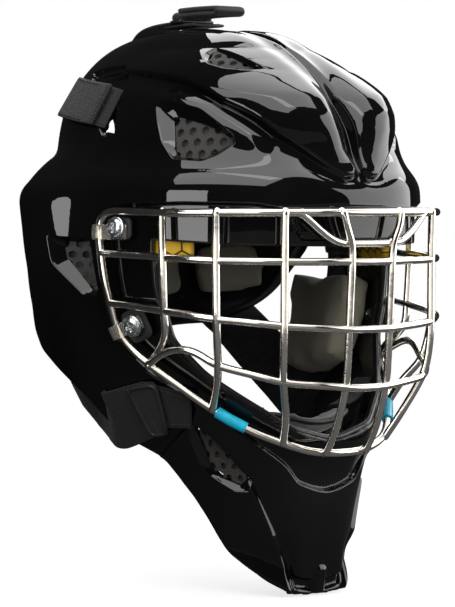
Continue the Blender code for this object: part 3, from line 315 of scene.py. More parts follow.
LOBE_H = [0.5, 1.5, 4.0, 8.0, 10.0, 8.5, 3.5, 0.0, -2.5, -4.5, -2.5]
VALLEY = 3.0
def disp(p):
    """height of the moulded features over the smooth skin"""
    x, y, z = p.T
    ax = np.abs(x)
    w = uv(p)
    c = cyl(p)
    crown = ss(226, 238, z)
    front = 1-ss(0, 45, y)
    d = np.zeros(len(p))
    # two long lobes with a sharp lower crease and a hollow under it
    s = sd(w, LOBE, 40.0)
    t = -s
    hl = np.interp(z, [236, 245, 255, 262, 270, 280, 290, 298, 306, 315, 325], LOBE_H)
    lob = 1.2*ss(0, 3.2, t)+hl*(1-np.exp(-np.clip(t, 0, None)/9.0))
    hol = -2.6*np.exp(-(np.clip(s, 0, None)/8.5)**2)
    d += crown*front*(np.where(s < 0, lob-2.6*(1-ss(0, 2.4, t)), hol))*ss(-88, -60, w[:, 0])
    # middle valley
    wv = 9.0+5.0*ss(245, 310, z)
    d += -VALLEY*ss(240, 256, z)*(1-ss(wv-8, wv+6, ax))*(1-ss(20, 60, y))
    # ridge over the temple vent
    h, th = along(w, HOOD)
    d += crown*2.3*np.exp(-(h/6.0)**2)*ss(0.0, 0.22, th)*(1-ss(0.80, 1.0, th))*(np.hypot(w[:, 0]-22, w[:, 1]-45) < 80)
    # bevelled frames round the vents
    def frame_cut(m, rim, vent, depth, edge=0.8):
        a = sd(m, rim)
        b = sd(m, vent)
        t = np.clip(-a/np.maximum(-a+np.maximum(b, 0), 1e-6), 0, 1)
        return -depth*t*ss(-0.2, edge, -a)
    zc = ss(236, 244, z)
    d += zc*frame_cut(w, T_RIM, T_VENT, 4.6)
    d += zc*frame_cut(w, TOP_RIM, TOP_VENT, 2.4)
    lowr = 1-ss(226, 232, z)
    d += lowr*frame_cut(c, E_RIM, E_VENT, 5.0)
    d += lowr*frame_cut(c, J_RIM, J_VENT, 4.2)
    # strap slot recess and the slit above it
    s = sd(w, SLOT_RIM)
    d += -2.6*ss(-0.6, 1.8, -s)*crown
    s = sd(w, SLIT)
    d += -2.2*ss(-0.5, 1.4, -s)*crown
    # seat of the cage, deeper at the front
    s = sd(c, SEAT)
    dep = 3.4-1.0*ss(70, 130, c[:, 0])
    d += -dep*ss(-0.9, 1.3, -s)*lowr
    # jaw panel: the side behind L_B is lower, the strip under it is chamfered
    h, th = along(c, L_B, 60.0)
    side = ss(-1.2, 1.6, -h)
    d += -3.0*side*(1-ss(74, 88, z))*(1-ss(96, 116, c[:, 0]))
    h, th = along(c, STRIP, 60.0)
    d += -0.55*np.clip(-h, 0, 7)*(1-ss(22, 36, z))*ss(18, 26, c[:, 0])
    h, th = along(c, JAW_LEFT, 60.0)
    d += 0.9*ss(-1.0, 1.2, -h)*ss(0.0, 0.15, th)*(1-ss(0.8, 1.0, th))*(1-ss(20, 34, np.abs(h)))*(z < 112)
    # chin slot and lip
    s = sd(c, CHIN_SLOT)
    d += -2.8*ss(-0.6, 2.2, -s)
    s = sd(c, LIP)
    d += 1.5*ss(-1.4, 2.0, -s)
    return d
SHARP = [('u', LOBE, True), ('u', T_RIM, True), ('u', T_VENT, True), ('u', TOP_RIM, True), ('u', TOP_VENT, True), ('u', SLOT, True), ('u', SLOT_RIM, True), ('u', SLIT, True),
         ('c', SEAT, True), ('c', E_VENT, True), ('c', E_RIM, True), ('c', J_VENT, True), ('c', J_RIM, True), ('c', OPEN, True), ('c', L_B, False), ('c', STRIP, False),
         ('c', JAW_LEFT, False), ('c', CHIN_SLOT, True), ('c', LIP, True)]
def near_feature(p):
    """distance to the nearest sharp line"""
    w, c = uv(p), cyl(p)
    best = np.full(len(p), 60.0)
    for m, line, closed in SHARP:
        q = w if m == 'u' else c
        ok = (p[:, 2] > 222) if m == 'u' else (p[:, 2] < 236)
        L = np.asarray(line)
        pts = np.vstack([L, L[:1]]) if closed else L
        k = np.where(ok & (q > pts.min(0)-12).all(1) & (q < pts.max(0)+12).all(1))[0]
        if len(k):
            h, _ = along(q[k], pts, 60.0)
            best[k] = np.minimum(best[k], np.abs(h))
    h, _ = along(p[:, 1:], REAR, 60.0)
    best = np.minimum(best, np.abs(h)*1.2)
    for _, b in BOLTS:
        b = on_skin(np.array(b))[0][0]
        best = np.minimum(best, np.abs(np.linalg.norm(np.abs(p*np.array([1, 0, 0]))*np.array([-1, 0, 0])+p*np.array([0, 1, 1])-b, axis=1)-4.0))
    return best
def keep(p):
    """above zero where the shell has material"""
    w, c = uv(p), cyl(p)
    g = p[:, 2]-0.4
    g = np.minimum(g, np.where(p[:, 2] < 225, sd(c, OPEN), 30))
    g = np.minimum(g, np.where(p[:, 2] < 225, sd(c, E_VENT), 30))
    g = np.minimum(g, np.where(p[:, 2] < 225, sd(c, J_VENT), 30))
    g = np.minimum(g, np.where(p[:, 2] > 228, sd(w, T_VENT), 30))
    g = np.minimum(g, np.where(p[:, 2] > 228, sd(w, TOP_VENT), 30))
    g = np.minimum(g, np.where(p[:, 2] > 228, sd(w, SLOT), 30))
    g = np.minimum(g, sd(p[:, 1:], REAR, 40.0))
    for _, b in BOLTS:
        b = on_skin(np.array(b))[0][0]
        q = p*np.array([0, 1, 1])+np.abs(p*np.array([1, 0, 0]))*np.array([-1, 0, 0])
        g = np.minimum(g, np.linalg.norm(q-b, axis=1)-3.6)
    return g

# ------------------------------------------------------------------ triangle tools
def refine(D, T, mark):
    E = np.sort(np.concatenate([T[:, [0, 1]], T[:, [1, 2]], T[:, [2, 0]]]), 1)
    U, inv = np.unique(E, axis=0, return_inverse=True)
    inv = inv.ravel()
    s = mark[U[:, 0]] | mark[U[:, 1]]
    mid = np.full(len(U), -1)
    mid[s] = len(D)+np.arange(s.sum())
    nd = D[U[s, 0]]+D[U[s, 1]]
    nd /= np.linalg.norm(nd, axis=1)[:, None]
    m = len(T)
    m0, m1, m2 = mid[inv[:m]], mid[inv[m:2*m]], mid[inv[2*m:]]
    a, b, c = T.T
    code = (m0 >= 0)*1+(m1 >= 0)*2+(m2 >= 0)*4
    rules = {0: [(a, b, c)], 1: [(a, m0, c), (m0, b, c)], 2: [(a, b, m1), (a, m1, c)], 4: [(a, b, m2), (m2, b, c)],
             3: [(a, m0, m1), (a, m1, c), (m0, b, m1)], 6: [(m1, c, m2), (a, b, m1), (a, m1, m2)], 5: [(a, m0, m2), (m0, b, c), (m0, c, m2)],
             7: [(a, m0, m2), (m0, b, m1), (m2, m1, c), (m0, m1, m2)]}
    out = []
    for k, tris in rules.items():
        q = code == k
        if q.any():
            for t in tris:
                out.append(np.stack([t[0][q], t[1][q], t[2][q]], 1))
    return np.vstack([D, nd]), np.vstack(out)
def clip_mesh(arrays, T, g):
    """keeps g > 0; arrays are per-vertex values carried along"""
    pos = g > 0
    cnt = pos[T].sum(1)
    full = T[cnt == 3]
    one, two = T[cnt == 1], T[cnt == 2]
    def rot(t, first):
        k = first.argmax(1)
        r = np.arange(len(t))
        return t[r, k], t[r, (k+1) % 3], t[r, (k+2) % 3]
    oa, ob_, oc = rot(one, pos[one])
    ta, tb, tc = rot(two, ~pos[two])
    pairs = np.vstack([np.stack([oa, ob_], 1), np.stack([oa, oc], 1), np.stack([ta, tb], 1), np.stack([ta, tc], 1)])
    sp = np.sort(pairs, 1)
    U, inv = np.unique(sp, axis=0, return_inverse=True)
    inv = inv.ravel()
    ga, gb = g[U[:, 0]], g[U[:, 1]]
    t = ga/(ga-gb)
    t = np.clip(t, 0.02, 0.98)
    n = len(g)
    arrays = [np.concatenate([A, A[U[:, 0]]*(1-t.reshape(-1, *[1]*(A.ndim-1)))+A[U[:, 1]]*t.reshape(-1, *[1]*(A.ndim-1))]) for A in arrays]
    o, w = len(one), len(two)
    e_ab, e_ac = n+inv[:o], n+inv[o:2*o]
    f_ab, f_ac = n+inv[2*o:2*o+w], n+inv[2*o+w:]
    T2 = np.vstack([full, np.stack([oa, e_ab, e_ac], 1), np.stack([tb, tc, f_ac], 1), np.stack([tb, f_ac, f_ab], 1)])
    used = np.unique(T2)
    remap = np.full(len(arrays[0]), -1)
    remap[used] = np.arange(len(used))
    return [A[used] for A in arrays], remap[T2]
def loops(T):
    """boundary loops of a triangle mesh, with the surface on the left"""
    E = np.concatenate([T[:, [0, 1]], T[:, [1, 2]], T[:, [2, 0]]])
    n = int(T.max())+1
    key = E[:, 0]*n+E[:, 1]
    rev = E[:, 1]*n+E[:, 0]
    b = E[~np.isin(key, rev)]
    nxt = {}
    for i, j in b:
        nxt.setdefault(int(i), []).append(int(j))
    out = []
    while nxt:
        s = next(iter(nxt))
        loop = [s]
        while True:
            l = nxt.get(loop[-1])
            if not l:
                break
            j = l.pop()
            if not l:
                del nxt[loop[-1]]
            if j == s:
                break
            loop.append(j)
        if len(loop) > 4:
            out.append(loop)
    return out
def vnormals(V, T):
    n = np.cross(V[T[:, 1]]-V[T[:, 0]], V[T[:, 2]]-V[T[:, 0]])
    N = np.zeros_like(V)
    for k in range(3):
        np.add.at(N, T[:, k], n)
    return N/np.maximum(np.linalg.norm(N, axis=1), 1e-12)[:, None]
def make(name, V, Fc, mats, body='shell', replaces=(), slot=None, smooth=None, mat_index=None, blend=None):
    """object from millimetre points in the design frame"""
    V = (np.asarray(V, float)+SHIFT)/1000.0
    me = bpy.data.meshes.new(name)
    if isinstance(Fc, np.ndarray):
        k = Fc.shape[1]
        me.vertices.add(len(V))
        me.vertices.foreach_set('co', V.astype(np.float32).ravel())
        me.loops.add(Fc.size)
        me.loops.foreach_set('vertex_index', Fc.astype(np.int32).ravel())
        me.polygons.add(len(Fc))
        me.polygons.foreach_set('loop_start', (np.arange(len(Fc))*k).astype(np.int32))
        me.update(calc_edges=True)
        me.validate()
    else:
        me.from_pydata([tuple(a) for a in V], [], [tuple(int(i) for i in f) for f in Fc])
        me.update()
    for m in (mats if isinstance(mats, (list, tuple)) else [mats]):
        me.materials.append(m)
    if mat_index is not None:
        me.polygons.foreach_set('material_index', np.asarray(mat_index, np.int32))
    me.shade_smooth()
    if smooth is not None:
        me.set_sharp_from_angle(angle=math.radians(smooth))
    ob = bpy.data.objects.new(name, me)
    bpy.context.scene.collection.objects.link(ob)
    if blend:
        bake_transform(ob)
    elif body:
        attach(ob, body)
    if replaces:
        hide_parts(*replaces)
    return ob
def outward(ob):
    """faces out, by volume"""
    bm = bmesh.new()
    bm.from_mesh(ob.data)
    bmesh.ops.recalc_face_normals(bm, faces=bm.faces)
    if bm.calc_volume(signed=True) < 0:
        bmesh.ops.reverse_faces(bm, faces=bm.faces)
    bm.to_mesh(ob.data)
    bm.free()
    return ob

# ------------------------------------------------------------------ materials
def nodes(name):
    m = bpy.data.materials.new(name)
    m.use_nodes = True
    nt = m.node_tree
    b = nt.nodes["Principled BSDF"]
    return m, nt, b
def ramp(nt, src, stops):
    r = nt.nodes.new('ShaderNodeValToRGB')
    el = r.color_ramp.elements
    while len(el) < len(stops):
        el.new(0.5)
    for e, (pos, col) in zip(el, stops):
        e.position = pos
        e.color = (*col, 1) if len(col) == 3 else col
    nt.links.new(src, r.inputs['Fac'])
    return r.outputs['Color']
def mrange(nt, src, a, b, c, d):
    r = nt.nodes.new('ShaderNodeMapRange')
    nt.links.new(src, r.inputs['Value'])
    for k, v in zip(('From Min', 'From Max', 'To Min', 'To Max'), (a, b, c, d)):
        r.inputs[k].default_value = v
    return r.outputs['Result']
def noise_tex(nt, scale, detail=3.0, rough=0.5, vec=None, distortion=0.0):
    n = nt.nodes.new('ShaderNodeTexNoise')
    n.inputs['Scale'].default_value = scale
    n.inputs['Detail'].default_value = detail
    n.inputs['Roughness'].default_value = rough
    n.inputs['Distortion'].default_value = distortion
    if vec is None:
        tc = nt.nodes.new('ShaderNodeTexCoord')
        vec = tc.outputs['Object']
    nt.links.new(vec, n.inputs['Vector'])
    return n.outputs['Fac']
def bump(nt, b, src, dist, strength=1.0, normal=None):
    k = nt.nodes.new('ShaderNodeBump')
    k.inputs['Distance'].default_value = dist
    k.inputs['Strength'].default_value = strength
    nt.links.new(src, k.inputs['Height'])
    if normal is not None:
        nt.links.new(normal, k.inputs['Normal'])
    if b is not None:
        nt.links.new(k.outputs['Normal'], b.inputs['Normal'])
    return k.outputs['Normal']
def vmath(nt, op, a, b=None, const=None):
    k = nt.nodes.new('ShaderNodeVectorMath')
    k.operation = op
    nt.links.new(a, k.inputs[0])
    if isinstance(b, tuple):
        k.inputs[1].default_value = b
    elif b is not None:
        nt.links.new(b, k.inputs[1])
    if op == 'SCALE':
        k.inputs['Scale'].default_value = const
    elif const is not None:
        k.inputs[1].default_value = const
    return k.outputs[0]
def fmath(nt, op, a, b=None, const=None, clamp=False):
    k = nt.nodes.new('ShaderNodeMath')
    k.operation = op
    k.use_clamp = clamp
    nt.links.new(a, k.inputs[0])
    if b is not None:
        nt.links.new(b, k.inputs[1])
    if const is not None:
        k.inputs[1].default_value = const
    return k.outputs[0]
def attr(nt, name):
    a = nt.nodes.new('ShaderNodeAttribute')
    a.attribute_name = name
    return a

def gloss_black():
    m, nt, b = nodes('shell_gloss_black')
    n1 = noise_tex(nt, 14, 4, 0.6)
    nt.links.new(ramp(nt, n1, [(0.35, (0.0016, 0.0016, 0.0018)), (0.7, (0.0030, 0.0030, 0.0033))]), b.inputs['Base Color'])
    b.inputs['Roughness'].default_value = 0.5
    b.inputs['Specular IOR Level'].default_value = 0.0
    b.inputs['Coat Weight'].default_value = 1.0
    b.inputs['Coat IOR'].default_value = 1.52
    # lacquer: almost clear, with faint polishing haze and a very soft orange peel
    haze = noise_tex(nt, 55, 5, 0.62)
    nt.links.new(mrange(nt, haze, 0.40, 0.75, 0.004, 0.022), b.inputs['Coat Roughness'])
    peel = noise_tex(nt, 330, 1.0, 0.4)
    wave = noise_tex(nt, 60, 1.0, 0.4)
    n = bump(nt, None, peel, 0.0000025)
    n = bump(nt, None, wave, 0.000012, 1.0, n)
    nt.links.new(n, b.inputs['Coat Normal'])
    nt.links.new(n, b.inputs['Normal'])
    return m
def inner_black():
    m, nt, b = nodes('shell_inside')
    n1 = noise_tex(nt, 60, 4, 0.6)
    nt.links.new(ramp(nt, n1, [(0.3, (0.004, 0.004, 0.0042)), (0.75, (0.010, 0.010, 0.0105))]), b.inputs['Base Color'])
    nt.links.new(mrange(nt, noise_tex(nt, 120, 4), 0.3, 0.8, 0.16, 0.34), b.inputs['Roughness'])
    bump(nt, b, noise_tex(nt, 900, 3), 0.00002)
    return m
def satin_black():
    m, nt, b = nodes('backplate_satin')
    n1 = noise_tex(nt, 30, 4, 0.6)
    nt.links.new(ramp(nt, n1, [(0.3, (0.0045, 0.0045, 0.0048)), (0.75, (0.0055, 0.0055, 0.006))]), b.inputs['Base Color'])
    nt.links.new(mrange(nt, noise_tex(nt, 220, 5), 0.3, 0.8, 0.17, 0.30), b.inputs['Roughness'])
    bump(nt, b, noise_tex(nt, 1500, 3), 0.000012)
    return m
def chrome():
    m, nt, b = nodes('cage_chrome')
    n1 = noise_tex(nt, 40, 4, 0.6)
    nt.links.new(ramp(nt, n1, [(0.25, (0.80, 0.765, 0.70)), (0.75, (0.90, 0.87, 0.82))]), b.inputs['Base Color'])
    b.inputs['Metallic'].default_value = 1.0
    nt.links.new(mrange(nt, noise_tex(nt, 260, 5, 0.65), 0.35, 0.8, 0.07, 0.20), b.inputs['Roughness'])
    n = bump(nt, None, noise_tex(nt, 150, 3, 0.5), 0.00010, 0.6)
    bump(nt, b, noise_tex(nt, 1800, 2), 0.000012, 0.5, n)
    return m
def zinc():
    m, nt, b = nodes('zinc_screw')
    n1 = noise_tex(nt, 420, 5, 0.6)
    nt.links.new(ramp(nt, n1, [(0.3, (0.52, 0.56, 0.60)), (0.55, (0.80, 0.83, 0.86)), (0.8, (0.72, 0.70, 0.62))]), b.inputs['Base Color'])
    b.inputs['Metallic'].default_value = 1.0
    nt.links.new(mrange(nt, noise_tex(nt, 900, 4), 0.3, 0.8, 0.16, 0.36), b.inputs['Roughness'])
    bump(nt, b, noise_tex(nt, 1600, 3), 0.00003)
    return m
def clear_plastic():
    m, nt, b = nodes('clear_clip')
    n1 = noise_tex(nt, 200, 4)
    nt.links.new(ramp(nt, n1, [(0.3, (0.70, 0.66, 0.58)), (0.8, (0.85, 0.84, 0.80))]), b.inputs['Base Color'])
    b.inputs['Transmission Weight'].default_value = 0.92
    b.inputs['IOR'].default_value = 1.49
    nt.links.new(mrange(nt, noise_tex(nt, 500, 4), 0.3, 0.8, 0.04, 0.14), b.inputs['Roughness'])
    bump(nt, b, noise_tex(nt, 260, 2), 0.00008)
    return m
def rubber(name='black_rubber', lo=0.010, hi=0.022, r0=0.45, r1=0.70):
    m, nt, b = nodes(name)
    n1 = noise_tex(nt, 160, 5, 0.6)
    nt.links.new(ramp(nt, n1, [(0.3, (lo, lo, lo)), (0.75, (hi, hi, hi*1.03))]), b.inputs['Base Color'])
    nt.links.new(mrange(nt, noise_tex(nt, 500, 4), 0.3, 0.8, r0, r1), b.inputs['Roughness'])
    bump(nt, b, noise_tex(nt, 1400, 4), 0.00005)
    return m
def webbing(name, base, rib, depth, weave=0.0009, lift=1.0, sheen=0.08):
    """woven strap: u across and v along come from the mesh in metres"""
    m, nt, b = nodes(name)
    a = attr(nt, 'strap_uv')
    sep = nt.nodes.new('ShaderNodeSeparateXYZ')
    nt.links.new(a.outputs['Vector'], sep.inputs[0])
    def wave(src, period, phase=0.0):
        k = fmath(nt, 'MULTIPLY', src, const=2*math.pi/period)
        if phase:
            k = fmath(nt, 'ADD', k, const=phase)
        return mrange(nt, fmath(nt, 'SINE', k), -1, 1, 0, 1)
    across, lengthwise = sep.outputs['X'], sep.outputs['Y']
    ribs = wave(lengthwise, rib)
    yarn = wave(across, weave)
    # yarns swap over and under at each rib
    alt = fmath(nt, 'MULTIPLY', wave(across, weave*2), wave(lengthwise, rib*2))
    h = fmath(nt, 'ADD', fmath(nt, 'MULTIPLY', ribs, const=0.75), fmath(nt, 'MULTIPLY', yarn, const=0.28))
    h = fmath(nt, 'ADD', h, fmath(nt, 'MULTIPLY', alt, const=0.22))
    n1 = noise_tex(nt, 900, 4, 0.7)
    h = fmath(nt, 'ADD', h, fmath(nt, 'MULTIPLY', n1, const=0.35))
    # colour follows the weave height: painted shade in the grooves between ribs and yarns and painted highlight on
    # their tops, with random tone from the noise
    col = mrange(nt, h, 0.2, 1.5, 0.45, 1.35)
    wear = mrange(nt, noise_tex(nt, 45, 4, 0.6), 0.3, 0.8, 0.85, 1.2)
    col = fmath(nt, 'MULTIPLY', col, wear)
    mix = nt.nodes.new('ShaderNodeVectorMath')
    mix.operation = 'SCALE'
    mix.inputs[0].default_value = base
    nt.links.new(col, mix.inputs['Scale'])
    nt.links.new(mix.outputs[0], b.inputs['Base Color'])
    b.inputs['Roughness'].default_value = 0.82
    b.inputs['Sheen Weight'].default_value = sheen
    b.inputs['Sheen Roughness'].default_value = 0.5
    bump(nt, b, h, depth, 1.0)
    return m
def foam(name, c0, c1, sheen=0.12, cell=1300, r0=0.8, r1=0.95, depth=0.00009):
    m, nt, b = nodes(name)
    n1 = noise_tex(nt, 35, 5, 0.6)
    v = nt.nodes.new('ShaderNodeTexVoronoi')
    v.inputs['Scale'].default_value = cell
    tc = nt.nodes.new('ShaderNodeTexCoord')
    nt.links.new(tc.outputs['Object'], v.inputs['Vector'])
    # colour is random tone from the noise plus painted shade: darker in the pits of the foam cells, which the bump
    # below sinks
    tone_and_pore_shade = fmath(nt, 'ADD', fmath(nt, 'MULTIPLY', n1, const=0.7), fmath(nt, 'MULTIPLY', v.outputs['Distance'], const=0.5))
    nt.links.new(ramp(nt, tone_and_pore_shade, [(0.25, c0), (0.85, c1)]), b.inputs['Base Color'])
    nt.links.new(mrange(nt, n1, 0.3, 0.8, r0, r1), b.inputs['Roughness'])
    b.inputs['Sheen Weight'].default_value = sheen
    n = bump(nt, None, noise_tex(nt, 130, 4, 0.6), 0.0005, 0.55)
    bump(nt, b, v.outputs['Distance'], depth, 0.8, n)
    return m
def yellow_foam():
    """yellow foam with thin black lines in a hexagon pattern on the face, from the mesh's pad_uv"""
    m, nt, b = nodes('yellow_foam')
    a = attr(nt, 'pad_uv')
    # distance to the edge of the hexagon a point lies in
    p = vmath(nt, 'SCALE', a.outputs['Vector'], const=1/0.0105)
    r, h = (1.0, 1.7320508, 1.0), (0.5, 0.8660254, 0.0)
    ga = vmath(nt, 'SUBTRACT', vmath(nt, 'MODULO', p, r), h)
    gb = vmath(nt, 'SUBTRACT', vmath(nt, 'MODULO', vmath(nt, 'SUBTRACT', p, h), r), h)
    pick = nt.nodes.new('ShaderNodeMath')
    pick.operation = 'LESS_THAN'
    for i, g in enumerate((ga, gb)):
        flat = vmath(nt, 'MULTIPLY', g, (1.0, 1.0, 0.0))
        l = nt.nodes.new('ShaderNodeVectorMath')
        l.operation = 'LENGTH'
        nt.links.new(flat, l.inputs[0])
        nt.links.new(l.outputs['Value'], pick.inputs[i])
    mv = nt.nodes.new('ShaderNodeMix')
    mv.data_type = 'VECTOR'
    nt.links.new(pick.outputs[0], mv.inputs['Factor'])
    nt.links.new(gb, mv.inputs[4])
    nt.links.new(ga, mv.inputs[5])
    ab = vmath(nt, 'ABSOLUTE', mv.outputs[1])
    dt = nt.nodes.new('ShaderNodeVectorMath')
    dt.operation = 'DOT_PRODUCT'
    nt.links.new(ab, dt.inputs[0])
    dt.inputs[1].default_value = (0.5, 0.8660254, 0.0)
    sp = nt.nodes.new('ShaderNodeSeparateXYZ')
    nt.links.new(ab, sp.inputs[0])
    far = fmath(nt, 'MAXIMUM', dt.outputs['Value'], sp.outputs['X'])
    line = mrange(nt, far, 0.435, 0.465, 0.0, 1.0)
    n1 = noise_tex(nt, 60, 4, 0.6)
    base = ramp(nt, n1, [(0.3, (0.62, 0.36, 0.012)), (0.8, (0.80, 0.50, 0.02))])
    mix = nt.nodes.new('ShaderNodeMix')
    mix.data_type = 'RGBA'
    nt.links.new(line, mix.inputs['Factor'])
    nt.links.new(base, mix.inputs[6])
    mix.inputs[7].default_value = (0.02, 0.016, 0.008, 1)
    nt.links.new(mix.outputs[2], b.inputs['Base Color'])
    nt.links.new(mrange(nt, noise_tex(nt, 300, 4), 0.3, 0.8, 0.45, 0.65), b.inputs['Roughness'])
    bump(nt, b, noise_tex(nt, 900, 4), 0.00006)
    return m
def blue_sleeve():
    m, nt, b = nodes('blue_sleeve')
    n1 = noise_tex(nt, 180, 4, 0.6)
    nt.links.new(ramp(nt, n1, [(0.3, (0.003, 0.26, 0.40)), (0.8, (0.006, 0.42, 0.58))]), b.inputs['Base Color'])
    nt.links.new(mrange(nt, noise_tex(nt, 500, 4), 0.3, 0.8, 0.28, 0.45), b.inputs['Roughness'])
    b.inputs['Coat Weight'].default_value = 0.3
    bump(nt, b, noise_tex(nt, 700, 3), 0.00003)
    return m
M_SHELL, M_IN, M_BACK, M_CHROME, M_ZINC, M_CLIP = gloss_black(), inner_black(), satin_black(), chrome(), zinc(), clear_plastic()
M_RUB = rubber()
M_EDGE = rubber('strap_binding', 0.008, 0.016, 0.35, 0.6)
M_GLOSSRUB = rubber('lip_moulding', 0.004, 0.009, 0.16, 0.30)
M_WEB = webbing('strap_elastic', (0.0055, 0.0055, 0.006), 0.0016, 0.00028)
M_TAB = webbing('tab_webbing', (0.0075, 0.0075, 0.008), 0.0021, 0.00060, 0.0013)
M_PATCH = webbing('hook_patch', (0.006, 0.006, 0.0065), 0.0011, 0.00025, 0.0011)
M_OLIVE = foam('olive_foam', (0.135, 0.124, 0.090), (0.200, 0.186, 0.140))
M_DARK = foam('dark_foam', (0.022, 0.021, 0.019), (0.048, 0.046, 0.041), cell=900)
M_MESH = foam('perforated_foam', (0.014, 0.0135, 0.012), (0.030, 0.028, 0.025), cell=1100)
M_GREY = foam('grey_fabric', (0.050, 0.050, 0.050), (0.085, 0.085, 0.083), sheen=0.3, cell=1900)
M_YEL, M_BLUE = yellow_foam(), blue_sleeve()

# ------------------------------------------------------------------ gloss shell
def fine_shell():
    bm = bmesh.new()
    bmesh.ops.create_icosphere(bm, subdivisions=7, radius=1.0)
    D = np.array([v.co[:] for v in bm.verts])
    T = np.array([[w.index for w in f.verts] for f in bm.faces])
    bm.free()
    D /= np.linalg.norm(D, axis=1)[:, None]
    P = C0+D*fast_r(D)[:, None]
    # drop what is far outside the kept skin before refining
    g = keep(P)
    used = (g[T] > -9).any(1)
    T = T[used]
    idx = np.unique(T)
    rm = np.full(len(D), -1)
    rm[idx] = np.arange(len(idx))
    D, T, P = D[idx], rm[T], P[idx]
    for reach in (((6.0, 3.2, 1.4))):
        n0 = len(D)
        mark = near_feature(P) < reach
        D, T = refine(D, T, mark)
        P = np.vstack([P, C0+D[n0:]*fast_r(D[n0:])[:, None]])
    N = grad(P)
    g = keep(P)
    h = disp(P)
    RIM = 1.2
    (P, N, h), T = clip_mesh([P, N, h], T, g-RIM*0.9)
    # the outer face: the skin moved out by the feature heights, its triangles turned to face outwards
    N /= np.linalg.norm(N, axis=1)[:, None]
    V = P+N*h[:, None]
    fl = np.cross(V[T[:, 1]]-V[T[:, 0]], V[T[:, 2]]-V[T[:, 0]])
    if (fl*N[T[:, 0]]).sum() < 0:
        T = T[:, ::-1].copy()
    VN = vnormals(V, T)
    hin = np.maximum(h-SHELL_T, np.minimum(-6.6, h-1.6))
    hin = np.where(h > -2.6, h-SHELL_T, hin)
    I = P+N*hin[:, None]
    n = len(V)
    verts = [V, I]
    tris = [T, T[:, ::-1]+n]
    count = 2*n
    K = 4
    for loop in loops(T):
        L = np.array(loop)
        C = V[L].copy()
        for _ in range(4):
            C = C*0.5+0.25*(np.roll(C, 1, 0)+np.roll(C, -1, 0))
        V[L] = C
        nn = VN[L].copy()
        for _ in range(3):
            nn = nn+np.roll(nn, 1, 0)+np.roll(nn, -1, 0)
            nn /= np.linalg.norm(nn, axis=1)[:, None]
        tt = np.roll(C, -2, 0)-np.roll(C, 2, 0)
        o = np.cross(tt, nn)
        o /= np.maximum(np.linalg.norm(o, axis=1), 1e-9)[:, None]
        for _ in range(3):
            o = o+np.roll(o, 1, 0)+np.roll(o, -1, 0)
            o /= np.linalg.norm(o, axis=1)[:, None]
        th = np.clip(((C-I[L])*nn).sum(1), 1.0, 6.0)
        I[L] = C-nn*th[:, None]
        r = np.minimum(RIM, th*0.45)
        rows = [L]
        for k in range(1, K+1):
            a = math.radians(90*k/K)
            verts.append(C+o*(r*math.sin(a))[:, None]-nn*(r*(1-math.cos(a)))[:, None])
            rows.append(np.arange(count, count+len(L)))
            count += len(L)
        for k in range(K, 0, -1):
            a = math.radians(90*k/K)
            verts.append(I[L]+o*(r*math.sin(a))[:, None]+nn*(r*(1-math.cos(a)))[:, None])
            rows.append(np.arange(count, count+len(L)))
            count += len(L)
        rows.append(L+n)
        for a, b in zip(rows[:-1], rows[1:]):
            a2, b2 = np.roll(a, -1), np.roll(b, -1)
            tris.append(np.stack([a, b, b2], 1))
            tris.append(np.stack([a, b2, a2], 1))
    verts[0], verts[1] = V, I
    Vall = np.vstack(verts)
    Tall = np.vstack(tris)
    nT = len(T)
    mi = np.zeros(len(Tall), int)
    mi[nT:2*nT] = 1
    ob = make('shell_moulding', Vall, Tall, [M_SHELL, M_IN], 'shell', ('main_shell',), 'shell_gloss', None, mi)
    return ob, len(Tall)
import time as _t
t0 = _t.time()
shell, ntri = fine_shell()
print('shell', ntri, 'tris', round(_t.time()-t0, 1), 's')

# ------------------------------------------------------------------ curves and sweeps
def spline(pts, per=4):
    P = np.asarray(pts, float)
    P = np.vstack([2*P[0]-P[1], P, 2*P[-1]-P[-2]])
    out = []
    for i in range(1, len(P)-2):
        for k in range(per):
            t = k/per
            out.append(0.5*((2*P[i])+(-P[i-1]+P[i+1])*t+(2*P[i-1]-5*P[i]+4*P[i+1]-P[i+2])*t*t+(-P[i-1]+3*P[i]-3*P[i+1]+P[i+2])*t**3))
    out.append(P[-2])
    return np.array(out)
def closed_spline(P, per):
    P = np.asarray(P, float)
    n = len(P)
    out = []
    for i in range(n):
        a, b, c, d = P[i-1], P[i], P[(i+1) % n], P[(i+2) % n]
        for k in range(per):
            t = k/per
            out.append(0.5*((2*b)+(-a+c)*t+(2*a-5*b+4*c-d)*t*t+(-a+3*b-3*c+d)*t**3))
    return np.array(out)
def even(P, step, closed=False):
    """the path at even steps"""
    P = np.asarray(P, float)
    if closed:
        P = np.vstack([P, P[:1]])
    s = np.concatenate([[0], np.cumsum(np.linalg.norm(np.diff(P, axis=0), axis=1))])
    n = max(3, int(round(s[-1]/step)))
    t = np.linspace(0, s[-1], n+1)
    Q = np.stack([np.interp(t, s, P[:, k]) for k in range(3)], -1)
    return Q[:-1] if closed else Q
def soften(P, n=6, closed=False):
    P = P.copy()
    for _ in range(n):
        if closed:
            P = P*0.5+0.25*(np.roll(P, 1, 0)+np.roll(P, -1, 0))
        else:
            P[1:-1] = P[1:-1]*0.5+0.25*(P[2:]+P[:-2])
    return P
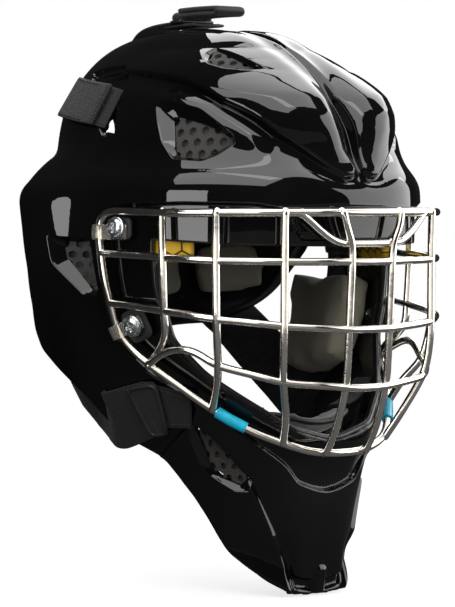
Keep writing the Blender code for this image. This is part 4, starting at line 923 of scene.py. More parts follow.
def tube(path, r, seg=18, closed=False, dome=True):
    """round bar with domed ends; r may vary along the path"""
    P = np.asarray(path, float)
    r = np.broadcast_to(np.asarray(r, float), (len(P),)).copy()
    if not closed and dome:
        a, b = P[0]-P[1], P[-1]-P[-2]
        a /= np.linalg.norm(a)
        b /= np.linalg.norm(b)
        ks = [1.0, 0.92, 0.7, 0.38]
        hs = [0.0, 0.38, 0.7, 0.92]
        P = np.vstack([[P[0]+a*r[0]*h for h in hs[::-1]], P[1:-1], [P[-1]+b*r[-1]*h for h in hs]])
        r = np.concatenate([[r[0]*k for k in ks[::-1]], r[1:-1], [r[-1]*k for k in ks]])
    n = len(P)
    T = np.roll(P, -1, 0)-np.roll(P, 1, 0) if closed else np.gradient(P, axis=0)
    T /= np.linalg.norm(T, axis=1)[:, None]
    up = np.array([0.0, 0.0, 1.0]) if abs(T[0, 2]) < 0.9 else np.array([1.0, 0, 0])
    N = np.zeros_like(P)
    N[0] = np.cross(T[0], up)
    N[0] /= np.linalg.norm(N[0])
    for i in range(1, n):
        v = N[i-1]-T[i]*np.dot(N[i-1], T[i])
        N[i] = v/np.linalg.norm(v)
    if closed:
        v = N[-1]-T[0]*np.dot(N[-1], T[0])
        v /= np.linalg.norm(v)
        ang = math.atan2(np.dot(np.cross(v, N[0]), T[0]), np.dot(v, N[0]))
        for i in range(n):
            a = ang*i/n
            B = np.cross(T[i], N[i])
            N[i] = math.cos(a)*N[i]+math.sin(a)*B
    B = np.cross(T, N)
    a = 2*np.pi*np.arange(seg)/seg
    V = (P[:, None]+r[:, None, None]*(np.cos(a)[None, :, None]*N[:, None]+np.sin(a)[None, :, None]*B[:, None])).reshape(-1, 3)
    m = n if closed else n-1
    i = np.arange(m)[:, None]
    k = np.arange(seg)[None]
    j = (i+1) % n
    l = (k+1) % seg
    Q = np.stack([i*seg+k, i*seg+l, j*seg+l, j*seg+k], -1).reshape(-1, 4)
    Fc = [tuple(q) for q in Q.tolist()]
    if not closed:
        Fc.append(tuple(range(seg-1, -1, -1)))
        Fc.append(tuple((n-1)*seg+k for k in range(seg)))
    return V, Fc
def merge(parts):
    V, Fc, o = [], [], 0
    for v, f in parts:
        V.append(v)
        Fc += [tuple(int(i)+o for i in q) for q in f]
        o += len(v)
    return np.vstack(V), Fc
MIR = np.array([-1.0, 1, 1])
def mirrored(v, f):
    return np.asarray(v)*MIR, [tuple(reversed(q)) for q in f]
def yc(x):
    return np.interp(np.abs(x), [0, 8, 15, 30, 45, 55, 65, 75, 83, 90, 95.5, 99, 101.5], [-127.4, -127.2, -126.6, -124.4, -120.5, -116.6, -110.5, -101.0, -88.2, -72.5, -55.5, -36.0, -15.0])
WOFF = WIRE_R+CAGE_GAP
PER = [(-99.6, -19.5, 219), (-100.4, -13.7, 215.8), (-101.1, -11.9, 209.6), (-101.1, -13.7, 197.2), (-99.9, -15.8, 180.2), (-97.8, -17.7, 167.3), (-94.4, -19.7, 153.1), (-90, -26, 143), (-84.5, -35.4, 134.2), (-76, -49, 123.2), (-63.4, -64.7, 109.4), (-50, -79.2, 98.3), (-36, -90.4, 90.4), (-19.5, -95.4, 84.8)]
per_r = on_skin(np.array(PER), WOFF)[0]
lower = np.vstack([per_r[1:], [(0, -102.6, 82.8)], per_r[1:][::-1]*MIR])
xs = np.array([-96, -88, -76, -60, -40, -20, 0, 20, 40, 60, 76, 88, 96.0])
tophalf = np.array([(x, yc(x)+1.4, 218.4) for x in xs])
loop = np.vstack([per_r[:1], tophalf, per_r[:1]*MIR, lower[::-1]])
FRAME_C = closed_spline(loop, 2)           # same points as the frame's wire in the solid
FRAME_W = soften(even(closed_spline(loop, 6), 2.4, True), 5, True)
HZ = {'eye': [(0, 191), (55, 191.5), (83, 192), (95.5, 193.5), (100.8, 195.5)],
      'nose': [(0, 153.4), (15, 153.4), (55, 155.8), (83, 159.8), (94.5, 163.3), (98.6, 168)],
      'mouth': [(0, 120.5), (15, 121), (52, 124.6), (66, 129), (79, 134.5)]}
def foot_on(p, o=WOFF):
    return on_skin([p], o)[0][0]
def cage():
    """frame wire, level wires inside, uprights outside, all welded at the crossings"""
    lev, upr = [], []
    def half(key, h, n=29):
        z = np.array(HZ[key], float)
        xs = np.linspace(-h, h, n)
        return xs, np.interp(np.abs(xs), z[:, 0], z[:, 1])
    IN, OUT = 1.3, -1.5
    def push(P, d):
        """moves the path straight out of the cage by -d"""
        P = np.array(P, float)
        c = P*np.array([1, 1, 0])-np.array([0, 10.0, 0])
        c /= np.linalg.norm(c, axis=1)[:, None]
        return P-c*d
    for key, h, hold, mid_, dy in (('eye', 97.5, (-100.7, -14.0, 195.5), (-100.2, -30, 194.6), 0.0), ('nose', 95.0, (-97.9, -17.5, 168), (-98.3, -34, 166.0), 0.4)):
        xs, zs = half(key, h)
        e = foot_on(hold, WOFF+0.6)
        m = push([(x, yc(x)+dy, z) for x, z in zip(xs, zs)], IN)
        lev.append(np.vstack([[e, mid_], m[1:-1], [np.array(mid_)*MIR, e*MIR]]))
    xs = np.array([-78, -66, -52, -34, -15, 0, 15, 34, 52, 66, 78.0])
    zz = np.interp(np.abs(xs), *np.array(HZ['mouth'], float).T)
    ym = np.interp(np.abs(xs), [0, 15, 34, 52, 66, 78], [-124, -123, -119.5, -112.5, -101, -84])
    e = foot_on((-84.5, -35.4, 134.2), WOFF+0.8)
    s1 = np.array((-87.0, -61.0, 142.3))
    m1 = (e+s1)/2+np.array((-1.5, 0, 1.5))
    s2 = np.array((-83.2, -72.0, 140.6))
    lev.append(np.vstack([[e, m1, s1, s2], push([(x, y, z) for x, y, z in zip(xs, ym, zz)], IN*0.6), [s2*MIR, s1*MIR, m1*MIR, e*MIR]]))
    for sx in (-1, 1):
        S = np.array([sx, 1, 1])
        upr.append(push(np.array([(21.5, -124.4, 218.6), (20.6, -125.0, 214), (18.2, -125.0, 207), (15.6, -124.6, 201), (15, -124.2, 190), (15, -123.0, 172), (15, -122.0, 153), (15, -120.8, 135), (15, -119.2, 122), (15, -112.0, 100), (15, -104.0, 85.5), (15, -102.6, 83.4)])*S, OUT))
        upr.append(push(np.array([(55, -114.4, 218.6), (55, -114.0, 205), (55, -113.8, 191), (55, -113.6, 172), (55, -113.4, 156), (54.6, -112.4, 140), (52.3, -109.6, 125), (44, -102, 105), tuple(foot_on((36, -90.4, 90.4)))])*S, OUT))
        upr.append(push(np.array([(82.0, -88.0, 218.6), (81.4, -87.2, 205), (81.2, -86.8, 192), (81.0, -86.8, 176), (80.8, -86.8, 160), (79.4, -85.8, 146), (76.2, -82.6, 132), (70, -74, 120), tuple(foot_on((63.4, -64.7, 109.4)))])*S, OUT))
        upr.append(push(np.array([(93.0, -54.6, 218.6), (93.4, -55.2, 205), (93.3, -55.4, 194), (92.6, -55.2, 178), (91.8, -54.8, 164), (90.6, -54.4, 152), (88.6, -50.0, 145.6), (86.6, -42, 139), tuple(foot_on((84.5, -35.4, 134.2)))])*S, OUT*0.8))
    br = np.array([(-47.5, -119.2, 218.6), (-42, -120.8, 214.2), (-34, -122.6, 207.6), (-26, -123.8, 202.8), (-20, -124.4, 201.4), (-8, -125.0, 201.1), (8, -125.0, 201.1), (20, -124.4, 201.4), (26, -123.8, 202.8), (34, -122.6, 207.6), (42, -120.8, 214.2), (47.5, -119.2, 218.6)])
    paths = [('lev', p) for p in lev]+[('up', p) for p in upr]+[('lev', push(br, IN*0.8))]
    parts = [tube(FRAME_W, WIRE_R, 20, closed=True)]
    fine = []
    for kind, p in paths:
        q = soften(even(spline(p, 6), 1.8), 4)
        fine.append((kind, q))
        parts.append(tube(q, WIRE_R*(0.96 if kind == 'up' else 0.94), 18))
    # weld metal at each crossing: a small saddle between the two wires
    allp = [('frame', FRAME_W)]+fine
    for i in range(len(allp)):
        for j in range(i+1, len(allp)):
            A, B = allp[i][1], allp[j][1]
            d = np.linalg.norm(A[:, None]-B[None], axis=2)
            near = np.argwhere(d < 2*WIRE_R+0.6)
            done = []
            for a, b in near[np.argsort(d[near[:, 0], near[:, 1]])]:
                c = (A[a]+B[b])/2
                if any(np.linalg.norm(c-x) < 8 for x in done):
                    continue
                done.append(c)
                ta = A[min(a+1, len(A)-1)]-A[max(a-1, 0)]
                tb = B[min(b+1, len(B)-1)]-B[max(b-1, 0)]
                ta /= np.linalg.norm(ta)
                tb /= np.linalg.norm(tb)
                # flattened pearl in the plane of both wires
                n = np.cross(ta, tb)
                if np.linalg.norm(n) < 0.3:
                    n = np.cross(ta, (0, 0, 1.0))
                n /= np.linalg.norm(n)
                u = (ta+tb*np.sign(ta@tb if abs(ta@tb) > 1e-6 else 1))
                u /= np.linalg.norm(u)
                w = np.cross(n, u)
                vs, fs = ball(10, 7)
                v = c+vs[:, :1]*u*3.1+vs[:, 1:2]*w*3.1+vs[:, 2:]*n*1.75
                parts.append((v, fs))
    V, Fc = merge(parts)
    ob = make('cage_wires', V, Fc, M_CHROME, 'shell', ('cage',), 'cage_chrome', 60)
    return ob
def ball(nu, nv):
    V = [(0, 0, 1.0)]
    for j in range(1, nv):
        t = math.pi*j/nv
        V += [(math.sin(t)*math.cos(2*math.pi*i/nu), math.sin(t)*math.sin(2*math.pi*i/nu), math.cos(t)) for i in range(nu)]
    V.append((0, 0, -1.0))
    Fc = []
    for i in range(nu):
        l = (i+1) % nu
        Fc.append((0, 1+i, 1+l))
        for j in range(nv-2):
            a, b = 1+j*nu, 1+(j+1)*nu
            Fc.append((a+i, b+i, b+l, a+l))
        a = 1+(nv-2)*nu
        Fc.append((a+i, len(V)-1, a+l))
    return np.array(V), Fc
cage_ob = cage()

# ------------------------------------------------------------------ pieces that stand for nodes
BODY_OF = {n: b for b, ns in frame['record']['behaviour']['bodies'].items() for n in ns}
def norm(v):
    v = np.asarray(v, float)
    return v/np.maximum(np.linalg.norm(v, axis=-1, keepdims=True), 1e-12)
def strap_mesh(path, normals, width, thick, off=0.0, corner=0.35, step=1.0, seg=22, crown=0.0):
    """flat strap with rounded selvedges; returns points, faces and strap coordinates in metres"""
    P, N = np.asarray(path, float), np.asarray(normals, float)
    w = np.broadcast_to(np.asarray(width, float), (len(P),)).copy()
    th = np.broadcast_to(np.asarray(thick, float), (len(P),)).copy()
    s = np.concatenate([[0], np.cumsum(np.linalg.norm(np.diff(P, axis=0), axis=1))])
    n = max(4, int(round(s[-1]/step)))
    t = np.linspace(0, s[-1], n+1)
    P = np.stack([np.interp(t, s, P[:, k]) for k in range(3)], -1)
    N = norm(np.stack([np.interp(t, s, N[:, k]) for k in range(3)], -1))
    w, th = np.interp(t, s, w), np.interp(t, s, th)
    P = soften(P, 4)
    T = norm(np.gradient(P, axis=0))
    W = norm(np.cross(T, N))
    N = np.cross(W, T)
    a = 2*np.pi*(np.arange(seg)+0.5)/seg
    ca, sa = np.cos(a), np.sin(a)
    x = np.sign(ca)*np.abs(ca)**0.22
    y = 0.5+0.5*np.sign(sa)*np.abs(sa)**0.55
    # ends close over four shrinking rings
    ends = [(0.0, 0.25), (0.12, 0.62), (0.35, 0.88)]
    V, UV = [], []
    def ring(i, dx, k):
        c = P[i]+T[i]*dx
        hw = w[i]/2-(1-k)*th[i]*0.4
        ty = off+th[i]*(0.5+(y-0.5)*k)+crown*(1-x*x)*(y > 0.5)*k
        V.append(c+W[i]*(x*hw)[:, None]+N[i]*ty[:, None])
        UV.append(np.stack([x*hw/1000, np.full(seg, (t[i]+dx)/1000), y*0], -1))
    for dx, k in ends:
        ring(0, -th[0]*0.35*(1-dx/0.35*0.9)*0.6, k)
    for i in range(1, n):
        ring(i, 0.0, 1.0)
    for dx, k in ends[::-1]:
        ring(n, th[n]*0.35*(1-dx/0.35*0.9)*0.6, k)
    m = len(V)
    V = np.vstack(V)
    UV = np.vstack(UV)
    i = np.arange(m-1)[:, None]
    k = np.arange(seg)[None]
    l = (k+1) % seg
    Q = np.stack([i*seg+k, i*seg+l, (i+1)*seg+l, (i+1)*seg+k], -1).reshape(-1, 4)
    Fc = [tuple(q) for q in Q.tolist()]
    Fc.append(tuple(range(seg-1, -1, -1)))
    Fc.append(tuple((m-1)*seg+q for q in range(seg)))
    return V, Fc, UV
def set_attr(ob, name, vals):
    vals = np.asarray(vals, np.float32)
    kind = 'FLOAT_VECTOR' if vals.ndim == 2 else 'FLOAT'
    a = ob.data.attributes.new(name, kind, 'POINT')
    a.data.foreach_set('vector' if vals.ndim == 2 else 'value', vals.ravel())
def strap(name, mesh, mat, body, replaces=(), blend=None, sides=(-1,)):
    """one strap, or a pair; names and nodes use {side}"""
    out = []
    for sx in sides:
        V, Fc, UV = mesh
        nm = 'right' if sx < 0 else 'left'
        V2, F2 = (V, Fc) if sx < 0 else mirrored(V, Fc)
        bl = None
        if blend:
            a, b, s, e = blend
            S = np.array([1, 1, 1]) if sx < 0 else MIR
            bl = (a, b, tuple((np.array(s)*S+SHIFT)/1000), tuple((np.array(e)*S+SHIFT)/1000))
        ob = make(name.format(side=nm), V2, F2, mat, body.format(side=nm) if body else None, (), None, 50, None, None)
        set_attr(ob, 'strap_uv', UV)
        outward(ob)
        ob.data.shade_smooth()
        if bl:
            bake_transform(ob)
        if replaces:
            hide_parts(*[r.format(side=nm) for r in replaces])
        out.append(ob)
    return out
def stitch_line(P, N, pitch=3.0, length=2.1, r=0.28, lift=0.0):
    """a row of thread stitches along a path"""
    P = np.asarray(P, float)
    s = np.concatenate([[0], np.cumsum(np.linalg.norm(np.diff(P, axis=0), axis=1))])
    parts = []
    for t in np.arange(pitch*0.5, s[-1]-length*0.5, pitch):
        q = [np.array([np.interp(u, s, P[:, k]) for k in range(3)]) for u in (t-length/2, t-length/4, t, t+length/4, t+length/2)]
        nn = norm(np.array([np.interp(t, s, np.asarray(N)[:, k]) for k in range(3)]))
        h = [-0.15, 0.12, 0.2, 0.12, -0.15]
        parts.append(tube([a+nn*(lift+b) for a, b in zip(q, h)], r, 6))
    return parts
def offset_line(path, normals, u, off):
    """line along a strap at u across, off above its base"""
    P, N = np.asarray(path, float), norm(normals)
    T = norm(np.gradient(P, axis=0))
    W = norm(np.cross(T, N))
    N = np.cross(W, T)
    u = np.broadcast_to(np.asarray(u, float), (len(P),))
    return P+W*u[:, None]+N*off, N
M_THREAD = rubber('strap_thread', 0.014, 0.030, 0.5, 0.7)

# ---- top strap
fold = []
for y in (33, 27, 20, 12, 5, 0.5):
    fold.append(((0, y, 334.9-0.0011*(y-14)**2), (0, 0, -1)))
for a in np.linspace(-80, 80, 9):
    r = math.radians(a)
    fold.append(((0, -0.3-1.9*math.cos(r), 336.3+1.75*math.sin(r)), (0, -math.cos(r), math.sin(r))))
for y in (1.0, 6, 12, 20, 27, 32.5):
    fold.append(((0, y, 338.0-0.0011*(y-14)**2), (0, 0, 1)))
fp, fn_ = np.array([f[0] for f in fold], float), np.array([f[1] for f in fold], float)
m = strap_mesh(fp, fn_, 22.4, 3.1, -1.55, step=0.8)
strap('top_tab_strap', m, M_TAB, 'top_tab', ('top_tab',))
# rolled fold between the tab and its keeper, on the hinge line
rl = np.array([(x, 33.0, 333.4) for x in np.linspace(-10.6, 10.6, 23)])
V, Fc = tube(rl, 3.3, 22)
V = V*np.array([1, 1.25, 1])-np.array([0, 33*0.25, 0])
rolled = make('top_tab_roll', V, Fc, M_TAB, 'top_tab', (), 'webbing', 60)
set_attr(rolled, 'strap_uv', np.stack([V[:, 0]/1000, (V[:, 1]+V[:, 2])/1000, 0*V[:, 0]], -1))
outward(rolled)
q0, n0 = on_skin(np.array([(0, y, 327.0) for y in (45, 40, 35, 30, 25, 20, 17)], float))
ob = make('top_strap_base', *strap_mesh(q0, n0, 23.4, 2.1, 0.7)[:2], M_RUB, 'shell', ('top_strap_mount',), 'black_rubber', 50)
outward(ob)
pl, nl = on_skin(np.array([(0, y, 327.0) for y in (37.5, 35, 33, 31, 28.5)], float))
loop_ = []
for a in np.linspace(0, 2*math.pi, 33)[:-1]:
    # rounded rectangle ring round the strap, seen from the front
    cx, cz = math.cos(a), math.sin(a)
    e = 5.0
    k = (abs(cx)**e+abs(cz)**e)**(-1/e)
    loop_.append(np.array((13.0*cx*k, 33.0, 0.0))+np.array((0, 0, pl[2, 2]+4.6+1.0*cz*k)))
ob = make('top_strap_keeper', *strap_mesh(pl, nl, 26.4, 2.2, 3.3)[:2], M_EDGE, 'shell', ('top_strap_loop',), 'black_rubber', 50)
outward(ob)
ys = np.array([38, 46, 54, 62, 68, 73, 78, 83, 89, 95, 99, 103.0])
tp, tn = on_skin(np.stack([0*ys, ys, np.interp(ys, [38, 62, 75, 86, 93, 99, 103], [326, 322, 318, 312, 303, 290, 276])], -1))
drop = np.interp(ys, [60, 68, 74, 80, 87, 110], [-2.9, -1.2, 2.0, 5.0, 7.6, 7.6])
strap('top_strap_elastic', strap_mesh(tp-tn*drop[:, None], tn, 25.0, 1.7, 0.1), M_WEB, None, ('top_strap',), blend=('shell', 'backplate', (0, 62, 322), (0, 86, 311)))
st = []
for u in (-9.6, 9.6):
    L_, NN = offset_line(q0, n0, u, 2.8)
    st += stitch_line(L_, NN, 2.6, 1.8, 0.25)
V, Fc = merge(st)
make('top_base_stitches', V, Fc, M_THREAD, 'shell', (), 'webbing', 60)

# ---- side straps
side_path = np.array([(-73.8, 21, 277.5), (-72.5, 30, 278.5), (-70.2, 40, 279.6), (-67.0, 50, 280.6), (-63.0, 60, 281.6), (-58.6, 69, 282.4)])
ps, ns = on_skin(side_path)
tabp, tabn = [], []
# rolled front edge where the tab comes out of the slot, then the flat patch
T0 = norm(ps[1]-ps[0])
for a in np.linspace(200, 90, 7):
    r = math.radians(a)
    tabp.append(ps[0]+T0*(2.6*math.cos(r)+1.0)+ns[0]*(2.5+0.9*math.sin(r)))
    tabn.append(T0*math.cos(r)*0.9+ns[0]*math.sin(r))
for i in range(1, 5):
    tabp.append(ps[i]+ns[i]*3.4)
    tabn.append(ns[i])
tabp.append(ps[4]*0.45+ps[5]*0.55+ns[5]*3.3)
tabn.append(ns[5])
m = strap_mesh(np.array(tabp), np.array(tabn), 26.4, 2.3, -1.15, step=0.8)
strap('side_tab_patch_{side}', m, M_TAB, 'side_tab_{side}', ('side_tab_{side}',), sides=(-1, 1))
st = []
for u in (-11.6, 11.6):
    L_, NN = offset_line(np.array(tabp[7:]), np.array(tabn[7:]), u, 1.25)
    st += stitch_line(L_, NN, 2.6, 1.8, 0.25)
V, Fc = merge(st)
for sx, nm in ((-1, 'right'), (1, 'left')):
    v2, f2 = (V, Fc) if sx < 0 else mirrored(V, Fc)
    make('side_tab_stitches_'+nm, v2, f2, M_THREAD, 'side_tab_'+nm, (), 'webbing', 60)
el = np.array([(-74.2, 14, 276.8), (-73.6, 20, 277.4), (-72.5, 30, 278.5), (-70.2, 40, 279.6), (-67.0, 50, 280.6), (-63.0, 60, 281.6), (-59.5, 67, 282.0), (-56.0, 76, 282.0), (-51.5, 86, 281.2), (-46, 96, 280.2), (-38, 104, 279), (-29, 109, 278), (-20, 112, 277)], float)
ep, en = on_skin(el)
y_ = el[:, 1]
drop = np.interp(y_, [14, 22, 60, 68, 76, 84, 92, 120], [3.4, -0.2, -0.2, 0.4, 3.2, 6.2, 7.6, 7.6])
strap('side_elastic_{side}', strap_mesh(ep-en*drop[:, None], en, 25.0, 1.1, 0.1), M_WEB, None, ('side_strap_{side}',), blend=('shell', 'backplate', (-62, 62, 281.7), (-45, 97, 280)), sides=(-1, 1))

# ---- lower straps
low = np.array([(-70.0, -52, 105.5), (-74.2, -43, 106.8), (-76.8, -36, 107.2), (-78.5, -28, 107.5), (-79.5, -20, 105.0), (-80.3, -11, 102.0), (-80.7, -2, 99.0), (-81.2, 7, 97.0)])
lp, ln = on_skin(low)
# hook patch under the frame wire
pa = lp[:4].copy()
strap('lower_patch_{side}', strap_mesh(pa, ln[:4], np.linspace(21, 29, 4), 1.9, 0.9), M_PATCH, 'shell', ('lower_strap_{side}',), sides=(-1, 1))
st = []
for u in (-1, 1):
    L_, NN = offset_line(pa, ln[:4], u*np.linspace(8.2, 12.2, 4), 2.85)
    st += stitch_line(L_, NN, 2.4, 1.7, 0.22)
V, Fc = merge(st)
for sx, nm in ((-1, 'right'), (1, 'left')):
    v2, f2 = (V, Fc) if sx < 0 else mirrored(V, Fc)
    make('lower_patch_stitches_'+nm, v2, f2, M_THREAD, 'shell', (), 'webbing', 60)
# slide: bound rectangle over the elastic
bz, bn = lp[2:5], ln[2:5]
slide_m = strap_mesh(bz, bn, 31.0, 1.7, 3.6)
strap('lower_slide_{side}', slide_m, M_PATCH, 'lower_buckle_{side}', ('lower_buckle_{side}',), sides=(-1, 1))
bd = []
c4 = []
for i, u in ((0, -15.0), (0, 15.0), (-1, 15.0), (-1, -15.0)):
    L_, NN = offset_line(bz, bn, u, 4.7)
    c4.append(L_[i])
rect = []
for i in range(4):
    a, b = c4[i], c4[(i+1) % 4]
    rect += [a+(b-a)*t for t in np.linspace(0.06, 0.94, 8)]
V, Fc = tube(soften(np.array(rect), 2, True), 1.25, 10, closed=True)
for sx, nm in ((-1, 'right'), (1, 'left')):
    v2, f2 = (V, Fc) if sx < 0 else mirrored(V, Fc)
    outward(make('lower_slide_binding_'+nm, v2, f2, M_EDGE, 'lower_buckle_'+nm, (), 'black_rubber', 60))
# ---- hardware
def lathe(q, R, prof, seg=36, recess=None):
    rows, V = [], []
    for rr, h in prof:
        if rr == 0:
            rows.append([len(V)])
            V.append((0, 0, h))
        else:
            rows.append(list(range(len(V), len(V)+seg)))
            V += [(rr*math.cos(2*math.pi*k/seg), rr*math.sin(2*math.pi*k/seg), h) for k in range(seg)]
    Fc = []
    closed = prof[0][0] != 0
    m = len(rows) if closed else len(rows)-1
    for i in range(m):
        a, b = rows[i], rows[(i+1) % len(rows)]
        for k in range(seg):
            l = (k+1) % seg
            if len(a) == 1:
                Fc.append((a[0], b[l], b[k]))
            elif len(b) == 1:
                Fc.append((a[k], a[l], b[0]))
            else:
                Fc.append((a[k], a[l], b[l], b[k]))
    V = np.array(V, float)
    if recess:
        V = recess(V)
    return q+V@R.T, Fc
for nm, p in BOLTS:
    q, n = on_skin(np.array(p))
    q, n = q[0], n[0]
    k_ = np.argmin(np.linalg.norm(FRAME_C-q, axis=1)+np.where(np.abs(FRAME_C[:, 2]-q[2]) < 6, 0, 100))
    s_ = FRAME_C[(k_+1) % len(FRAME_C)]-FRAME_C[k_-1]
    s_ = s_-n*np.dot(s_, n)
    s_ = s_/np.linalg.norm(s_)*np.sign(s_[2])
    R = np.stack([np.cross(s_, n), s_, n], 1)
    w_ = (FRAME_C[k_]-q)@R
    hh = 7.0 if nm == 'upper' else 10.0
    x0, x1, y0, y1 = w_[0]+WIRE_R+1.2, 9.0, -hh, hh-1.0
    # rubber pad: rounded plate, soft edges, round hole with a rounded edge
    seg = 40
    a = 2*np.pi*np.arange(seg)/seg
    ca, sa = np.cos(a), np.sin(a)
    mm = (np.abs(ca)**4.5+np.abs(sa)**4.5)**(-1/4.5)
    ox, oy = (x0+x1)/2+(x1-x0)/2*ca*mm, (y0+y1)/2+(y1-y0)/2*sa*mm
    def ringrow(f, z):
        """f 0 at the hole, 1 at the outline"""
        return np.stack([3.2*ca*(1-f)+ox*f, 3.2*sa*(1-f)+oy*f, np.full(seg, z)], -1)
    rows = [ringrow(0, 0.45), ringrow(0.96, 0.45), ringrow(1.0, 0.8), ringrow(1.0, 1.7), ringrow(0.95, 2.15), ringrow(0.86, 2.3), ringrow(0.45, 2.3), ringrow(0.2, 2.3), ringrow(0.05, 2.25), ringrow(0, 2.1)]
    V = np.vstack(rows)
    nr = len(rows)
    Fc = [(i*seg+k, i*seg+(k+1) % seg, ((i+1) % nr)*seg+(k+1) % seg, ((i+1) % nr)*seg+k) for i in range(nr) for k in range(seg)]
    for sx, sd_ in ((-1, 'right'), (1, 'left')):
        v2 = q+V@R.T
        f2 = Fc
        if sx > 0:
            v2, f2 = mirrored(v2, Fc)
        outward(make('rubber_pad_%s_%s' % (nm, sd_), v2, f2, M_RUB, 'shell', ('clip_rubber_%s_%s' % (nm, sd_),), 'black_rubber', 50))
    # clear clip: strip under the screw, bent over the frame wire
    wx, wz = w_[0], w_[2]
    gap = 0.6 if nm == 'upper' else 1.3
    th = 1.5
    pr = [(6.3, 2.7+th/2), (3.0, 2.7+th/2), (0.0, 2.7+th/2), (min(-5.0, wx+WIRE_R+2.7)*0.6, 2.7+th/2)]
    pr += [(wx+(WIRE_R+gap+th/2)*math.cos(t), wz+(WIRE_R+gap+th/2)*math.sin(t)) for t in np.linspace(math.radians(50), math.radians(188), 9)]
    c0, c1 = (-6.5, 2.0) if nm == 'upper' else (-3.5, 4.5)
    cp = np.array([(x, (c0+c1)/2, z) for x, z in pr])
    d_ = np.gradient(cp[:, [0, 2]], axis=0)
    cn = np.stack([-d_[:, 1], 0*d_[:, 0], d_[:, 0]], -1)
    cn = norm(cn)
    cn *= np.where(cn[:, 2:3] < -0.2, -1, 1)
    if cn[0, 2] < 0:
        cn = -cn
    V, Fc, _ = strap_mesh(q+cp@R.T, cn@R.T, c1-c0, th, -th/2, step=0.5)
    for sx, sd_ in ((-1, 'right'), (1, 'left')):
        v2, f2 = (V, Fc) if sx < 0 else mirrored(V, Fc)
        outward(make('clear_clip_%s_%s' % (nm, sd_), v2, f2, M_CLIP, 'shell', ('cage_clip_%s_%s' % (nm, sd_),), 'clear_clip', 50))
    # pan head screw on a washer, with a cross recess
    hz = 2.7+th+0.3
    def cross(v):
        v = v.copy()
        r = np.hypot(v[:, 0], v[:, 1])
        arm = np.minimum(np.abs(v[:, 0]), np.abs(v[:, 1]))
        top = v[:, 2] > hz+1.5
        v[:, 2] -= top*1.5*(1-ss(0.45, 0.85, arm))*(1-ss(2.3, 2.9, r))
        return v
    prof = [(0, -5.6), (2.3, -5.6), (2.4, -5.4), (2.4, hz-0.1), (5.9, hz-0.1), (6.2, hz+0.15), (6.2, hz+0.75), (5.9, hz+1.0), (5.05, hz+1.0), (5.1, hz+1.3), (4.95, hz+1.9), (4.5, hz+2.4), (3.9, hz+2.68), (3.3, hz+2.8)]
    prof += [(r_, hz+2.88) for r_ in (2.9, 2.6, 2.3, 2.0, 1.7, 1.4, 1.1, 0.8, 0.5, 0.25)]+[(0, hz+2.88)]
    V, Fc = lathe(q, R, prof, 60, cross)
    for sx, sd_ in ((-1, 'right'), (1, 'left')):
        v2, f2 = (V, Fc) if sx < 0 else mirrored(V, Fc)
        outward(make('pan_screw_%s_%s' % (nm, sd_), v2, f2, M_ZINC, 'shell', ('cage_screw_%s_%s' % (nm, sd_),), 'zinc', 45))
    V, Fc = lathe(q, R, [(2.8, -6.3), (6.2, -6.3), (6.5, -6.0), (6.5, -5.3), (6.2, -5.0), (3.6, -5.0), (3.6, 0.2), (2.8, 0.2)], 40)
    for sx, sd_ in ((-1, 'right'), (1, 'left')):
        v2, f2 = (V, Fc) if sx < 0 else mirrored(V, Fc)
        outward(make('tee_nut_fine_%s_%s' % (nm, sd_), v2, f2, M_ZINC, 'shell', ('tee_nut_%s_%s' % (nm, sd_),), 'zinc', 45))

# ---- coloured sleeves on the jaw wires
jw = FRAME_C[(FRAME_C[:, 0] < -20) & (FRAME_C[:, 1] < -40) & (FRAME_C[:, 2] < 130)]
jw = jw[np.argsort(jw[:, 2])]
sp_ = np.array([[np.interp(z, jw[:, 2], jw[:, c]) for c in range(3)] for z in np.linspace(97.8, 106.7, 15)])
Vo, Fo = tube(sp_, WIRE_R+1.0, 24, dome=False)
Vi, _ = tube(sp_, WIRE_R+0.25, 24, dome=False)
nn_ = len(Vo)
Fs = [f for f in Fo if len(f) == 4]
Fs = Fs+[tuple(nn_+i for i in reversed(f)) for f in Fo if len(f) == 4]
e0 = nn_-24
Fs += [(k, nn_+k, nn_+(k+1) % 24, (k+1) % 24) for k in range(24)]
Fs += [(e0+k, e0+(k+1) % 24, nn_+e0+(k+1) % 24, nn_+e0+k) for k in range(24)]
V = np.vstack([Vo, Vi])
for sx, sd_ in ((-1, 'right'), (1, 'left')):
    v2, f2 = (V, Fs) if sx < 0 else mirrored(V, Fs)
    outward(make('film_sleeve_'+sd_, v2, f2, M_BLUE, 'shell', ('wire_sleeve_'+sd_,), 'blue_sleeve', 50))

